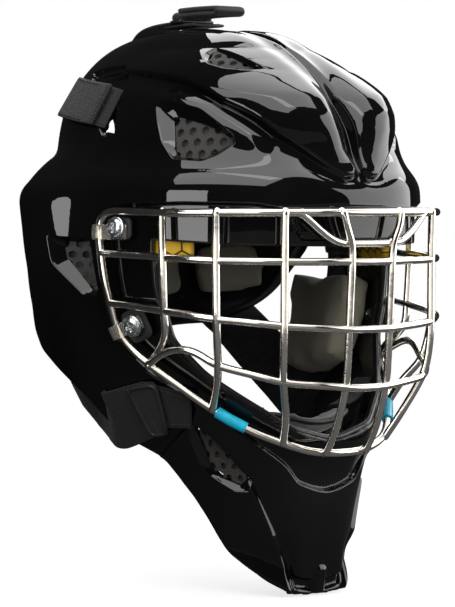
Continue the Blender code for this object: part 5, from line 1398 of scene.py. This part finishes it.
# ------------------------------------------------------------------ perforated inserts behind the vents
def from_u(q, off):
    a = np.hypot(q[:, 0], q[:, 1])/125.0
    h = np.maximum(np.hypot(q[:, 0], q[:, 1]), 1e-9)
    d = E0*np.cos(a)[:, None]+(q[:, :1]*E1+q[:, 1:]*E2)/h[:, None]*np.sin(a)[:, None]
    p, n = on_skin(C0+d*100)
    return p+n*np.asarray(off).reshape(-1, 1)
def from_c(q, off):
    p, n = at(-q[:, 0]/1.6, q[:, 1])
    return p+n*np.broadcast_to(np.asarray(off, float), (len(q),))[:, None]
def hexplate(name, lay, poly, off, pitch, hole, depth, mat, slot, margin=5.0, through=False, sides=(-1, 1), m=12):
    """a plate behind a vent, following the skin, with a hexagonal pattern of round holes"""
    poly = np.asarray(poly)
    lo, hi = poly.min(0)-margin-pitch, poly.max(0)+margin+pitch
    dy = pitch*math.sqrt(3)/2
    keys, Q, D = {}, [], []
    def vid(x, y, lvl):
        k = (round(x*2000), round(y*2000), lvl)
        if k not in keys:
            keys[k] = len(Q)
            Q.append((x, y))
            D.append((0.0, depth*0.92, depth)[lvl] if not through else (0.0, depth, depth)[lvl])
        return keys[k]
    Fc, edges = [], {}
    cells = np.array([(lo[0]+(c+0.5*(r % 2))*pitch, lo[1]+r*dy) for r in range(int((hi[1]-lo[1])/dy)+1) for c in range(int((hi[0]-lo[0])/pitch)+1)])
    for x, y in cells[sd(cells, poly) <= margin]:
        x, y = float(x), float(y)
        R = pitch/math.sqrt(3)
        cor = [(x+R*math.cos(math.radians(30+60*k)), y+R*math.sin(math.radians(30+60*k))) for k in range(6)]
        out = []
        for k in range(6):
            a, b = cor[k], cor[(k+1) % 6]
            out += [a, ((a[0]+b[0])/2, (a[1]+b[1])/2)]
        inn = [(x+hole/2*(1.0 if k % 2 == 0 else 0.90)*math.cos(math.radians(30+30*k)), y+hole/2*(1.0 if k % 2 == 0 else 0.90)*math.sin(math.radians(30+30*k))) for k in range(12)]
        ot, ob_ = [vid(*p, 0) for p in out], [vid(*p, 2) for p in out]
        it, ib = [vid(*p, 0) for p in inn], [vid(*p, 1) for p in inn]
        ib2 = [vid(*p, 2) for p in inn] if not through else ib
        for k in range(12):
            l = (k+1) % 12
            Fc.append((ot[k], ot[l], it[l], it[k]))
            Fc.append((it[k], it[l], ib[l], ib[k]))
            if through:
                Fc.append((ib[k], ib[l], ob_[l], ob_[k]))
            e = (ot[k], ot[l])
            if (e[1], e[0]) in edges:
                del edges[(e[1], e[0])]
            else:
                edges[e] = (ob_[k], ob_[l])
        if not through:
            Fc.append(tuple(ib))
            Fc.append(tuple(reversed(ob_)))
    for (a, b), (c, d) in edges.items():
        Fc.append((b, a, c, d))
    V = lay(np.array(Q), off-np.array(D))
    used = sorted({i for f in Fc for i in f})
    remap = {v: i for i, v in enumerate(used)}
    V = V[used]
    Fc = [tuple(remap[i] for i in f) for f in Fc]
    for sx, nm in ((-1, 'right'), (1, 'left')):
        if sx in sides:
            v2, f2 = (V, Fc) if sx < 0 else mirrored(V, Fc)
            outward(make(name+'_'+nm, v2, f2, mat, 'shell', (), slot, 40))
hexplate('temple_insert', from_u, T_VENT, -4.6, 8.6, 5.6, 2.6, M_MESH, 'dark_foam', 4.0)
hexplate('top_insert', from_u, TOP_VENT, -4.6, 8.0, 5.2, 2.4, M_MESH, 'dark_foam', 3.5)
hexplate('ear_insert', from_c, E_VENT, -4.3, 7.0, 4.4, 1.3, M_RUB, 'black_rubber', 3.5, through=True)
hexplate('jaw_insert', from_c, J_VENT, -4.6, 7.6, 4.6, 2.4, M_MESH, 'dark_foam', 3.5)

# ------------------------------------------------------------------ padding, by cloth simulation
def source(node):
    """vertices in world metres and faces of a CAD node"""
    o = next(o for o in bpy.data.objects if o.type == 'MESH' and (o.name == node or o.get('node') == node or o.name.split('.')[0] == node))
    M = o.matrix_world
    return [tuple(M @ v.co) for v in o.data.vertices], [tuple(p.vertices) for p in o.data.polygons]
def grid_solid(A, B):
    n, m = A.shape[:2]
    V = np.vstack([A.reshape(-1, 3), B.reshape(-1, 3)])
    o = n*m
    Fc = []
    for i in range(n-1):
        for j in range(m-1):
            a, b, c, d = i*m+j, (i+1)*m+j, (i+1)*m+j+1, i*m+j+1
            Fc += [(a, b, c, d), (o+d, o+c, o+b, o+a)]
    rim = [i*m for i in range(n)]+[(n-1)*m+j for j in range(1, m)]+[i*m+m-1 for i in range(n-2, -1, -1)]+[j for j in range(m-2, 0, -1)]
    for k in range(len(rim)):
        a, b = rim[k], rim[(k+1) % len(rim)]
        Fc.append((a, o+a, o+b, b))
    return V, Fc
class Pad:
    pass
pads = []
def cushion(name, node, mat, slot, voxel=4.0, shrink=0.9, cap=2.0, pair=True, body=None, pressure=4.0, post=None):
    p = Pad()
    p.name, p.node, p.mat, p.slot, p.shrink, p.cap, p.pair, p.post = name, node, mat, slot, shrink, cap, pair, post
    p.body = body or 'shell'
    V, Fc = source(node+'_right' if pair else node)
    me = bpy.data.meshes.new(name+'_sim')
    me.from_pydata(V, [], Fc)
    me.update()
    o = bpy.data.objects.new(name+'_sim', me)
    bpy.context.scene.collection.objects.link(o)
    r = o.modifiers.new('r', 'REMESH')
    r.mode = 'VOXEL'
    r.voxel_size = voxel/1000
    r.adaptivity = 0
    dg = bpy.context.evaluated_depsgraph_get()
    me2 = bpy.data.meshes.new_from_object(o.evaluated_get(dg))
    o.modifiers.clear()
    o.data = me2
    co = np.empty(len(me2.vertices)*3)
    me2.vertices.foreach_get('co', co)
    co = co.reshape(-1, 3)
    no = np.empty_like(co)
    me2.vertices.foreach_get('normal', no.ravel())
    no = np.array([v.normal for v in me2.vertices])
    co = co-no*shrink/1000
    me2.vertices.foreach_set('co', co.ravel())
    me2.update()
    p.start, p.ob = co, o
    c = o.modifiers.new('c', 'CLOTH')
    s = c.settings
    s.quality = 5
    s.mass = 0.3
    s.tension_stiffness = s.compression_stiffness = 12
    s.shear_stiffness = 6
    s.bending_stiffness = 0.6
    s.use_pressure = True
    s.uniform_pressure_force = pressure
    s.effector_weights.gravity = 0
    c.point_cache.frame_start, c.point_cache.frame_end = 1, 20
    pads.append(p)
def finish_pads():
    sc = bpy.context.scene
    for f in range(1, 21):
        sc.frame_set(f)
    dg = bpy.context.evaluated_depsgraph_get()
    for p in pads:
        o = p.ob
        me = o.evaluated_get(dg).to_mesh()
        co = np.empty(len(me.vertices)*3)
        me.vertices.foreach_get('co', co)
        co = co.reshape(-1, 3)
        o.evaluated_get(dg).to_mesh_clear()
        d = (co-p.start)*1000
        l = np.linalg.norm(d, axis=1)
        d *= (np.minimum(l, p.cap)/np.maximum(l, 1e-9))[:, None]
        p.fin = p.start+d/1000
    sc.frame_set(1)
    for p in pads:
        o = p.ob
        o.modifiers.clear()
        o.data.vertices.foreach_set('co', p.fin.ravel())
        o.data.update()
        s = o.modifiers.new('m', 'SMOOTH')
        s.iterations, s.factor = 2, 0.5
        s = o.modifiers.new('s', 'SUBSURF')
        s.levels = s.render_levels = 1
    dg = bpy.context.evaluated_depsgraph_get()
    out = []
    for p in pads:
        me = bpy.data.meshes.new_from_object(p.ob.evaluated_get(dg))
        co = np.empty(len(me.vertices)*3)
        me.vertices.foreach_get('co', co)
        V = co.reshape(-1, 3)*1000-SHIFT
        Fc = [tuple(q.vertices) for q in me.polygons]
        out.append((p, V, Fc))
        bpy.data.objects.remove(p.ob)
        bpy.data.meshes.remove(me)
    for p, V, Fc in out:
        for sx, nm in (((-1, '_right'), (1, '_left')) if p.pair else ((0, ''),)):
            v2, f2 = (V, Fc) if sx <= 0 else mirrored(V, Fc)
            ob = make(p.name+nm, v2, f2, p.mat, p.body, (p.node+nm,), p.slot, 60)
            outward(ob)
            if p.post:
                p.post(ob, v2)
def yellow_uv(ob, V):
    q = cyl(np.asarray(V))
    set_attr(ob, 'pad_uv', np.stack([q[:, 0]/1000+0.5, q[:, 1]/1000+0.5, 0*q[:, 0]], -1))
cushion('forehead_cushion', 'forehead_pad', M_DARK, 'dark_foam', 4.0, 0.9, 1.8, False)
cushion('sweatband_cloth', 'sweatband', M_GREY, 'grey_fabric', 1.6, 0.25, 0.5, False, pressure=1.0)
cushion('crown_cushion', 'crown_pad', M_DARK, 'dark_foam', 4.0, 0.9, 2.0, False)
cushion('brow_cushion', 'brow_pad', M_YEL, 'yellow_foam', 3.4, 0.7, 1.6, post=yellow_uv)
cushion('temple_cushion', 'temple_pad', M_DARK, 'dark_foam', 3.6, 0.8, 1.5)
cushion('cheek_cushion', 'cheek_pad', M_OLIVE, 'olive_foam', 4.0, 1.2, 2.6)
cushion('jaw_cushion', 'jaw_pad', M_DARK, 'dark_foam', 3.4, 0.8, 1.5)
cushion('ear_cushion', 'ear_pad', M_DARK, 'dark_foam', 3.0, 0.6, 1.2)
cushion('rear_cushion', 'rear_pad', M_OLIVE, 'olive_foam', 4.0, 1.0, 2.0, body='backplate')
cushion('rear_cushion_centre', 'rear_pad_centre', M_OLIVE, 'olive_foam', 4.0, 1.0, 2.0, False, body='backplate')
cushion('occipital_cushion', 'occipital_pad', M_DARK, 'dark_foam', 3.4, 0.8, 1.5, False, body='backplate')
cushion('chin_cup_cushion', 'chin_cup', M_GREY, 'grey_fabric', 3.4, 0.8, 1.5, False, body='chin_cup')
finish_pads()

# small yellow piece under the middle of the forehead padding
def slab(corners, off, thick, n, m, k=0.42, edge=1.2):
    g, h = np.meshgrid(np.linspace(-1, 1, n), np.linspace(-1, 1, m), indexing='ij')
    a, b = g*np.sqrt(1-k*h*h/2), h*np.sqrt(1-k*g*g/2)
    c = np.asarray(corners, float)
    w = [(1-a)*(1-b)/4, (1+a)*(1-b)/4, (1+a)*(1+b)/4, (1-a)*(1+b)/4]
    q = sum(wi[..., None]*ci for wi, ci in zip(w, c)).reshape(-1, 2)
    pp, nn = at(q[:, 0], q[:, 1], -off)
    e = np.maximum(np.abs(g), np.abs(h)).ravel()
    r = edge*ss(0.8, 1.0, e)**2
    A = (pp-nn*r[:, None]).reshape(n, m, 3)
    B = (pp-nn*(thick-r)[:, None]).reshape(n, m, 3)
    return grid_solid(A, B)
V, Fc = slab([(-9, 199.0), (9, 199.0), (8, 206.5), (-8, 206.5)], 5.2, 6.0, 25, 11)
ob = make('brow_cushion_front', V, Fc, M_YEL, 'shell', (), 'yellow_foam', 60)
outward(ob)
yellow_uv(ob, V)
# chin cup: bound edge and webbing
a_ = np.linspace(0, 2*math.pi, 73)[:-1]
ex = np.sign(np.cos(a_))*np.abs(np.cos(a_))**0.8
ey = np.sign(np.sin(a_))*np.abs(np.sin(a_))**0.8
cx, cy = 29.3*ex, 16.4*ey
rimp = np.stack([cx, -66+cy, 98+0.012*cx**2+0.01*(cy-10)**2-2-4.2], -1)
V, Fc = tube(soften(rimp, 2, True), 1.5, 12, closed=True)
outward(make('chin_cup_binding', V, Fc, M_EDGE, 'chin_cup', (), 'black_rubber', 60))
p0 = np.array((-30.5, -64.0, 105.6))
w1, m1 = on_skin(np.array([(-67.0, -58.0, 118.0)]))
p1 = w1[0]-m1[0]*(SHELL_T+7.0)
cs = np.array([p0+(p1-p0)*t+np.array((0, 0, -3.0*math.sin(math.pi*t))) for t in np.linspace(0, 1, 9)])
td = (p1-p0)/np.linalg.norm(p1-p0)
nr_ = np.cross(td, (0, 1, 0))
nr_ = nr_/np.linalg.norm(nr_)
nr_ = nr_*(1 if nr_[2] > 0 else -1)
strap('chin_webbing_{side}', strap_mesh(cs, np.tile(nr_, (9, 1)), 14.0, 1.6, 0.1), M_WEB, 'chin_cup', ('chin_strap_{side}',), sides=(-1, 1))

# ------------------------------------------------------------------ backplate
AXB = np.array([0.0, math.cos(math.radians(19)), math.sin(math.radians(19))])
EXB = np.array([1.0, 0, 0])
EUB = np.cross(EXB, AXB)
VIEW_C, VIEW_S = math.cos(math.radians(40)), math.sin(math.radians(40))
TUCK_Z = np.arange(60.0, 312.0, 6.0)
REAR_RAW = np.array([(68, 258), (55, 247), (47, 235), (42, 210), (38.6, 186), (39, 164), (42, 150), (42, 139), (34, 128), (25, 118), (18, 110), (11, 99.5), (-4, 86), (-23, 77), (-29.5, 67), (-35, 56)], float)[::-1]
REAR_RAW = np.vstack([REAR_RAW, [(76, 275), (78, 290), (76, 310)]])
TUCK_S = []
for z_ in TUCK_Z:
    pz = at(-np.linspace(30, 150, 61), z_)[0]
    kz = pz[:, 1] < np.interp(z_, REAR_RAW[:, 1], REAR_RAW[:, 0])
    TUCK_S.append((np.abs(pz[kz, 0])*VIEW_C+pz[kz, 1]*VIEW_S).max())
TUCK_S = np.array(TUCK_S)
def tuck(P, dep):
    P = np.asarray(P, float).copy()
    lim = (np.interp(P[..., 2], TUCK_Z, TUCK_S)-dep-VIEW_S*P[..., 1])/VIEW_C
    ax = np.abs(P[..., 0])
    P[..., 0] = np.sign(P[..., 0])*np.where(ax > 25, smin(ax, np.maximum(lim, 20), 10.0), ax)
    return P
def back_radius(psi):
    a = np.degrees(psi) % 360
    # the table's corners are eased, for a smooth outline
    t = [0, 12, 22, 37, 60, 90, 120, 143, 158, 168, 180, 205, 235, 270, 305, 335, 360]
    v = [70, 63, 55, 42, 43, 45, 43, 42, 55, 63, 70, 66, 47, 38, 47, 66, 70]
    return np.radians(np.mean([np.interp((a+s) % 360, t, v) for s in np.linspace(-6, 6, 9)], axis=0))
NRB, NSB = 34, 180
psis = 2*np.pi*np.arange(NSB)/NSB
radB = back_radius(psis)
fr = 1-(1-np.arange(1, NRB+1)/NRB)**1.25
dirs = [AXB[None]]
for f_ in fr:
    rr_ = radB*f_
    c_ = EXB*np.cos(psis)[:, None]+EUB*np.sin(psis)[:, None]
    dirs.append(AXB*np.cos(rr_)[:, None]+c_*np.sin(rr_)[:, None])
dirs = np.vstack(dirs)
qB, nB = on_skin(C0+dirs*100)
edge_mm = np.concatenate([[60], np.concatenate([(1-f_)*np.degrees(radB)*1.9 for f_ in fr])])
bead = 0.9*(1-ss(4.5, 6.5, edge_mm))
groove = 0.8*np.exp(-((edge_mm-14)/1.6)**2)
outB = tuck(qB-nB*BACK_IN, BACK_IN-4.5)+nB*(bead-groove)[:, None]
innB = tuck(qB-nB*(BACK_IN+BACK_T), BACK_IN+BACK_T-4.5)-nB*(bead*0.4)[:, None]
# rounded edge: last ring pulled together
V = np.vstack([outB, innB])
half = len(outB)
e0 = 1+(NRB-1)*NSB
mid = (outB[e0:]+innB[e0:])/2
V[e0:half] = mid+(outB[e0:]-mid)*0.55
V[half+e0:] = mid+(innB[e0:]-mid)*0.55
Fc = []
for o_, flip in ((0, False), (half, True)):
    for k in range(NSB):
        l = (k+1) % NSB
        t_ = (o_, o_+1+k, o_+1+l)
        Fc.append(t_[::-1] if flip else t_)
        for i in range(NRB-1):
            a, b = o_+1+i*NSB, o_+1+(i+1)*NSB
            t_ = (a+k, b+k, b+l, a+l)
            Fc.append(t_[::-1] if flip else t_)
for k in range(NSB):
    l = (k+1) % NSB
    Fc.append((e0+k, half+e0+k, half+e0+l, e0+l))
bp = make('backplate_moulding', V, Fc, M_BACK, 'backplate', ('backplate',), 'backplate_plastic', 35)
outward(bp)
cv, cf = [], []
for ph, z, w, h in ((180, 262, 5, 15), (152, 258, 5, 14), (208, 258, 5, 14), (165, 205, 14, 5), (195, 205, 14, 5)):
    q, n = at(ph, z)
    q, n = q[0], n[0]
    s = np.array([0, 0, 1.0])-n*n[2]
    s /= np.linalg.norm(s)
    t = np.cross(s, n)
    o0 = len(cv)
    for hgt in (-26, 7):
        for k in range(40):
            a = 2*math.pi*k/40
            cv.append(q+t*w*math.cos(a)+s*h*math.sin(a)+n*hgt)
    cf.append(tuple(o0+k for k in range(39, -1, -1)))
    cf.append(tuple(o0+40+k for k in range(40)))
    for k in range(40):
        l = (k+1) % 40
        cf.append((o0+k, o0+l, o0+40+l, o0+40+k))
cutter = bpy.data.meshes.new('vent_cut')
cutter.from_pydata([tuple((np.asarray(a)+SHIFT)/1000) for a in cv], [], cf)
co_ = bpy.data.objects.new('vent_cut', cutter)
bpy.context.scene.collection.objects.link(co_)
outward(co_)
bo = bp.modifiers.new('b', 'BOOLEAN')
bo.object, bo.operation, bo.solver = co_, 'DIFFERENCE', 'EXACT'
dg = bpy.context.evaluated_depsgraph_get()
nm_ = bpy.data.meshes.new_from_object(bp.evaluated_get(dg))
bp.modifiers.clear()
bp.data = nm_
bp.data.materials.clear()
bp.data.materials.append(M_BACK)
bp.data.shade_smooth()
bp.data.set_sharp_from_angle(angle=math.radians(38))
bpy.data.objects.remove(co_)
# rivets where the straps end on the backplate
rv = []
for p in ((0, 103, 276), (-24, 110.5, 277.5)):
    q, n = on_skin(np.array([p], float))
    q, n = q[0]-n[0]*(BACK_IN-2.3), n[0]
    t = np.cross(n, (0, 0, 1.0))
    t /= np.linalg.norm(t)
    R = np.stack([t, np.cross(n, t), n], 1)
    v, f = lathe(q, R, [(0, -1.5), (4.4, -1.5), (4.7, -0.8), (4.7, 0.3), (4.3, 0.9), (3.2, 1.5), (1.8, 1.8), (0, 1.9)], 36)
    rv.append((v, f))
    if p[0]:
        rv.append(mirrored(v, f))
V, Fc = merge(rv)
outward(make('strap_rivets', V, Fc, M_ZINC, 'backplate', (), 'zinc', 40))

# ------------------------------------------------------------------ lower elastic, from the slide to the backplate
ed = np.array([(-77.2, -34, 107.3), (-78.5, -28, 107.3), (-79.5, -20, 105.0), (-80.3, -11, 102.4), (-80.9, -3, 100.4), (-81.4, 4, 99.0)], float)
ep, en = on_skin(ed)
P_ = [p+n*o for p, n, o in zip(ep, en, [1.3, 1.3, 1.3, 1.2, 1.2, 1.2])]
N_ = list(en)
tail = [(-79.4, 15, 103.0), (-75.0, 23, 108.0)]
tailn = [(-1.0, 0.75, -0.25), (-1, 0.25, -0.2)]
# the end is laid on the backplate's outer face, from its lower edge upwards
rim_ = outB[e0:half]
edge_i = e0+int(np.argmin(np.linalg.norm(rim_-np.array((-62.0, 70.0, 146.0)), axis=1)))
onto, onton = [], []
here, away = outB[edge_i], norm(outB[0]-outB[edge_i])
for dist_ in (3.0, 10.0, 17.0, 24.0):
    j = int(np.argmin(np.linalg.norm(outB-(here+away*dist_), axis=1)))
    onto.append(outB[j]+nB[j]*1.3)
    onton.append(nB[j])
A0, B0 = np.array(tail[-1], float), onto[0]
for t in (0.25, 0.5, 0.75):
    tail.append(tuple(A0+(B0-A0)*t+np.array((-2.5, 0, -2.0))*math.sin(math.pi*t)))
    tailn.append(tuple(norm(np.array((-1.0, 0.1, -0.15))*(1-t)+onton[0]*t)))
P_ = np.vstack([P_, tail, onto])
N_ = np.vstack([N_, [norm(np.array(q)) for q in tailn], onton])
wd = np.interp(np.arange(len(P_)), [0, 5, 8, len(P_)-1], [31, 37, 34, 28])
b0 = tuple(np.array(tail[1])); b1 = tuple(onto[0])
strap('lower_elastic_{side}', strap_mesh(P_, N_, wd, 1.5, 0.0), M_WEB, None, (), blend=('shell', 'backplate', b0, b1), sides=(-1, 1))
print('ELASTIC end', onto[-1].round(1), 'edge', outB[edge_i].round(1))

# ------------------------------------------------------------------ rubber lip inside the lower edge of the opening
cpts = []
for p in np.asarray(OPEN):
    if 0 <= p[0] and p[1] < 190 and not (p[0] < 60 and p[1] > 150):
        cpts.append(p)
cpts = np.array(cpts)
cpts = cpts[np.argsort(cpts[:, 1])]
right_ = from_c(cpts, -6.6)
left_ = right_*MIR
path = np.vstack([right_[::-1], left_])
path = even(path, 2.0)
path = soften(path, 5)
V, Fc = tube(path, 2.3, 14)
outward(make('opening_lip', V, Fc, M_GLOSSRUB, 'shell', (), 'black_rubber', 60))

# ------------------------------------------------------------------ studio
def area(name, toward, dist, sx, sy, power, target=(0, 0.077, 0.17), color=(1, 1, 1), spread=None, roll=0.0):
    """softbox seen from the target along toward"""
    l = bpy.data.lights.new(name, 'AREA')
    l.shape = 'RECTANGLE'
    l.size, l.size_y = sx, sy
    l.energy = power
    l.color = color
    if spread:
        l.spread = math.radians(spread)
    o = bpy.data.objects.new(name, l)
    bpy.context.scene.collection.objects.link(o)
    d = Vector(toward).normalized()
    o.location = Vector(target)+d*dist
    q = (-d).to_track_quat('-Z', 'Y')
    o.rotation_mode = 'QUATERNION'
    o.rotation_quaternion = q @ Matrix.Rotation(math.radians(roll), 4, 'Z').to_quaternion()
    return o
def studio():
    w = bpy.data.worlds.new('studio')
    bpy.context.scene.world = w
    w.use_nodes = True
    nt = w.node_tree
    nt.nodes.clear()
    out = nt.nodes.new('ShaderNodeOutputWorld')
    lp = nt.nodes.new('ShaderNodeLightPath')
    white, dim = nt.nodes.new('ShaderNodeBackground'), nt.nodes.new('ShaderNodeBackground')
    white.inputs['Color'].default_value = (1, 1, 1, 1)
    white.inputs['Strength'].default_value = 1.0
    dim.inputs['Color'].default_value = (1, 1, 1, 1)
    dim.inputs['Strength'].default_value = 0.022
    mix = nt.nodes.new('ShaderNodeMixShader')
    nt.links.new(lp.outputs['Is Camera Ray'], mix.inputs['Fac'])
    nt.links.new(dim.outputs[0], mix.inputs[1])
    nt.links.new(white.outputs[0], mix.inputs[2])
    nt.links.new(mix.outputs[0], out.inputs['Surface'])
    # floor: pale to the camera, dim in reflections
    me = bpy.data.meshes.new('floor')
    s = 6.0
    me.from_pydata([(-s, -s, 0), (s, -s, 0), (s, s, 0), (-s, s, 0)], [], [(0, 1, 2, 3)])
    fl = bpy.data.objects.new('floor', me)
    fl.location = (0, 0, -0.0003)
    bpy.context.scene.collection.objects.link(fl)
    m, nt, b = nodes('floor_pale')
    nt.links.new(ramp(nt, noise_tex(nt, 3, 2), [(0.3, (0.93, 0.93, 0.93)), (0.7, (0.95, 0.95, 0.95))]), b.inputs['Base Color'])
    b.inputs['Roughness'].default_value = 0.9
    b.inputs['Specular IOR Level'].default_value = 0.0
    lp = nt.nodes.new('ShaderNodeLightPath')
    em = nt.nodes.new('ShaderNodeEmission')
    em.inputs['Color'].default_value = (1, 1, 1, 1)
    em.inputs['Strength'].default_value = 1.0
    dark = nt.nodes.new('ShaderNodeEmission')
    dark.inputs['Color'].default_value = (1, 1, 1, 1)
    dark.inputs['Strength'].default_value = 0.025
    # in reflections the floor in front of the mask is a little lighter than behind it
    tcf = nt.nodes.new('ShaderNodeTexCoord')
    sx_ = nt.nodes.new('ShaderNodeSeparateXYZ')
    nt.links.new(tcf.outputs['Object'], sx_.inputs[0])
    nt.links.new(mrange(nt, sx_.outputs['Y'], -0.25, 0.25, 0.15, 0.02), dark.inputs['Strength'])
    o = nt.nodes['Material Output']
    m1 = nt.nodes.new('ShaderNodeMixShader')
    # the shadow only shows near the object; further out the floor meets the backdrop
    tcd = nt.nodes.new('ShaderNodeTexCoord')
    ln = nt.nodes.new('ShaderNodeVectorMath')
    ln.operation = 'LENGTH'
    nt.links.new(tcd.outputs['Object'], ln.inputs[0])
    nt.links.new(mrange(nt, ln.outputs['Value'], 0.10, 0.75, 0.70, 1.0), m1.inputs['Fac'])
    nt.links.new(b.outputs[0], m1.inputs[1])
    nt.links.new(em.outputs[0], m1.inputs[2])
    m2 = nt.nodes.new('ShaderNodeMixShader')
    nt.links.new(lp.outputs['Is Camera Ray'], m2.inputs['Fac'])
    nt.links.new(dark.outputs[0], m2.inputs[1])
    nt.links.new(m1.outputs[0], m2.inputs[2])
    nt.links.new(m2.outputs[0], o.inputs['Surface'])
    me.materials.append(m)
    # softboxes
    def ae(az, el):
        a, e = math.radians(az), math.radians(el)
        return (math.sin(a)*math.cos(e), -math.cos(a)*math.cos(e), math.sin(e))
    area('box_side', ae(-88.5, 5.5), 1.6, 0.53, 0.58, 4.6)
    area('box_upper_left', ae(-68, 52), 1.6, 1.7, 0.9, 15)
    area('box_top', ae(10, 84), 1.5, 1.4, 1.4, 19)
    area('box_right_rear', ae(118, 42), 1.6, 1.45, 1.15, 18)
    area('box_right', ae(60, 15), 1.7, 2.1, 1.35, 26)
    # fills that reach the padding but leave no reflection in the lacquer
    for nm, to, size, power in (('fill_front', (-0.15, -0.95, 0.25), 1.2, 24), ('fill_left', (-0.85, -0.5, 0.3), 1.0, 8), ('fill_rear', (0.3, 0.9, 0.45), 1.2, 12)):
        area(nm, to, 1.8, size, size, power).visible_glossy = False
    # large boxes for the metal alone
    metal = bpy.data.collections.new('metal_parts')
    for o in bpy.data.objects:
        if o.type == 'MESH' and (o.name.startswith('cage_') or o.name.startswith('pan_screw')):
            metal.objects.link(o)
    for nm, to, sx, sy, power in (('metal_front', (-0.85, -0.50, 0.20), 1.2, 1.8, 6.5), ('metal_top', (-0.25, -0.70, 0.67), 1.8, 1.0, 6.0), ('metal_right', (0.75, -0.55, 0.35), 1.1, 1.6, 4.5), ('metal_low', (-0.35, -0.90, -0.25), 1.8, 0.8, 3.2)):
        o = area(nm, to, 1.5, sx, sy, power, color=(1.0, 0.95, 0.86))
        o.light_linking.receiver_collection = metal
    # camera
    cam = bpy.data.cameras.new('camera')
    co = bpy.data.objects.new('camera', cam)
    bpy.context.scene.collection.objects.link(co)
    th, el, D = math.radians(40.0), math.radians(2.0), 1.8
    tgt = Vector((0, 0.077, 0.1643))
    back = Vector((-math.sin(th)*math.cos(el), -math.cos(th)*math.cos(el), math.sin(el)))
    co.location = tgt+back*D
    co.rotation_mode = 'QUATERNION'
    co.rotation_quaternion = (-back).to_track_quat('-Z', 'Y')
    cam.sensor_width = 36
    cam.sensor_fit = 'AUTO'
    cam.lens = 36*3051.0/607.0
    cam.clip_end = 50
    bpy.context.scene.camera = co
    bpy.context.scene.view_settings.view_transform = 'Standard'
studio()
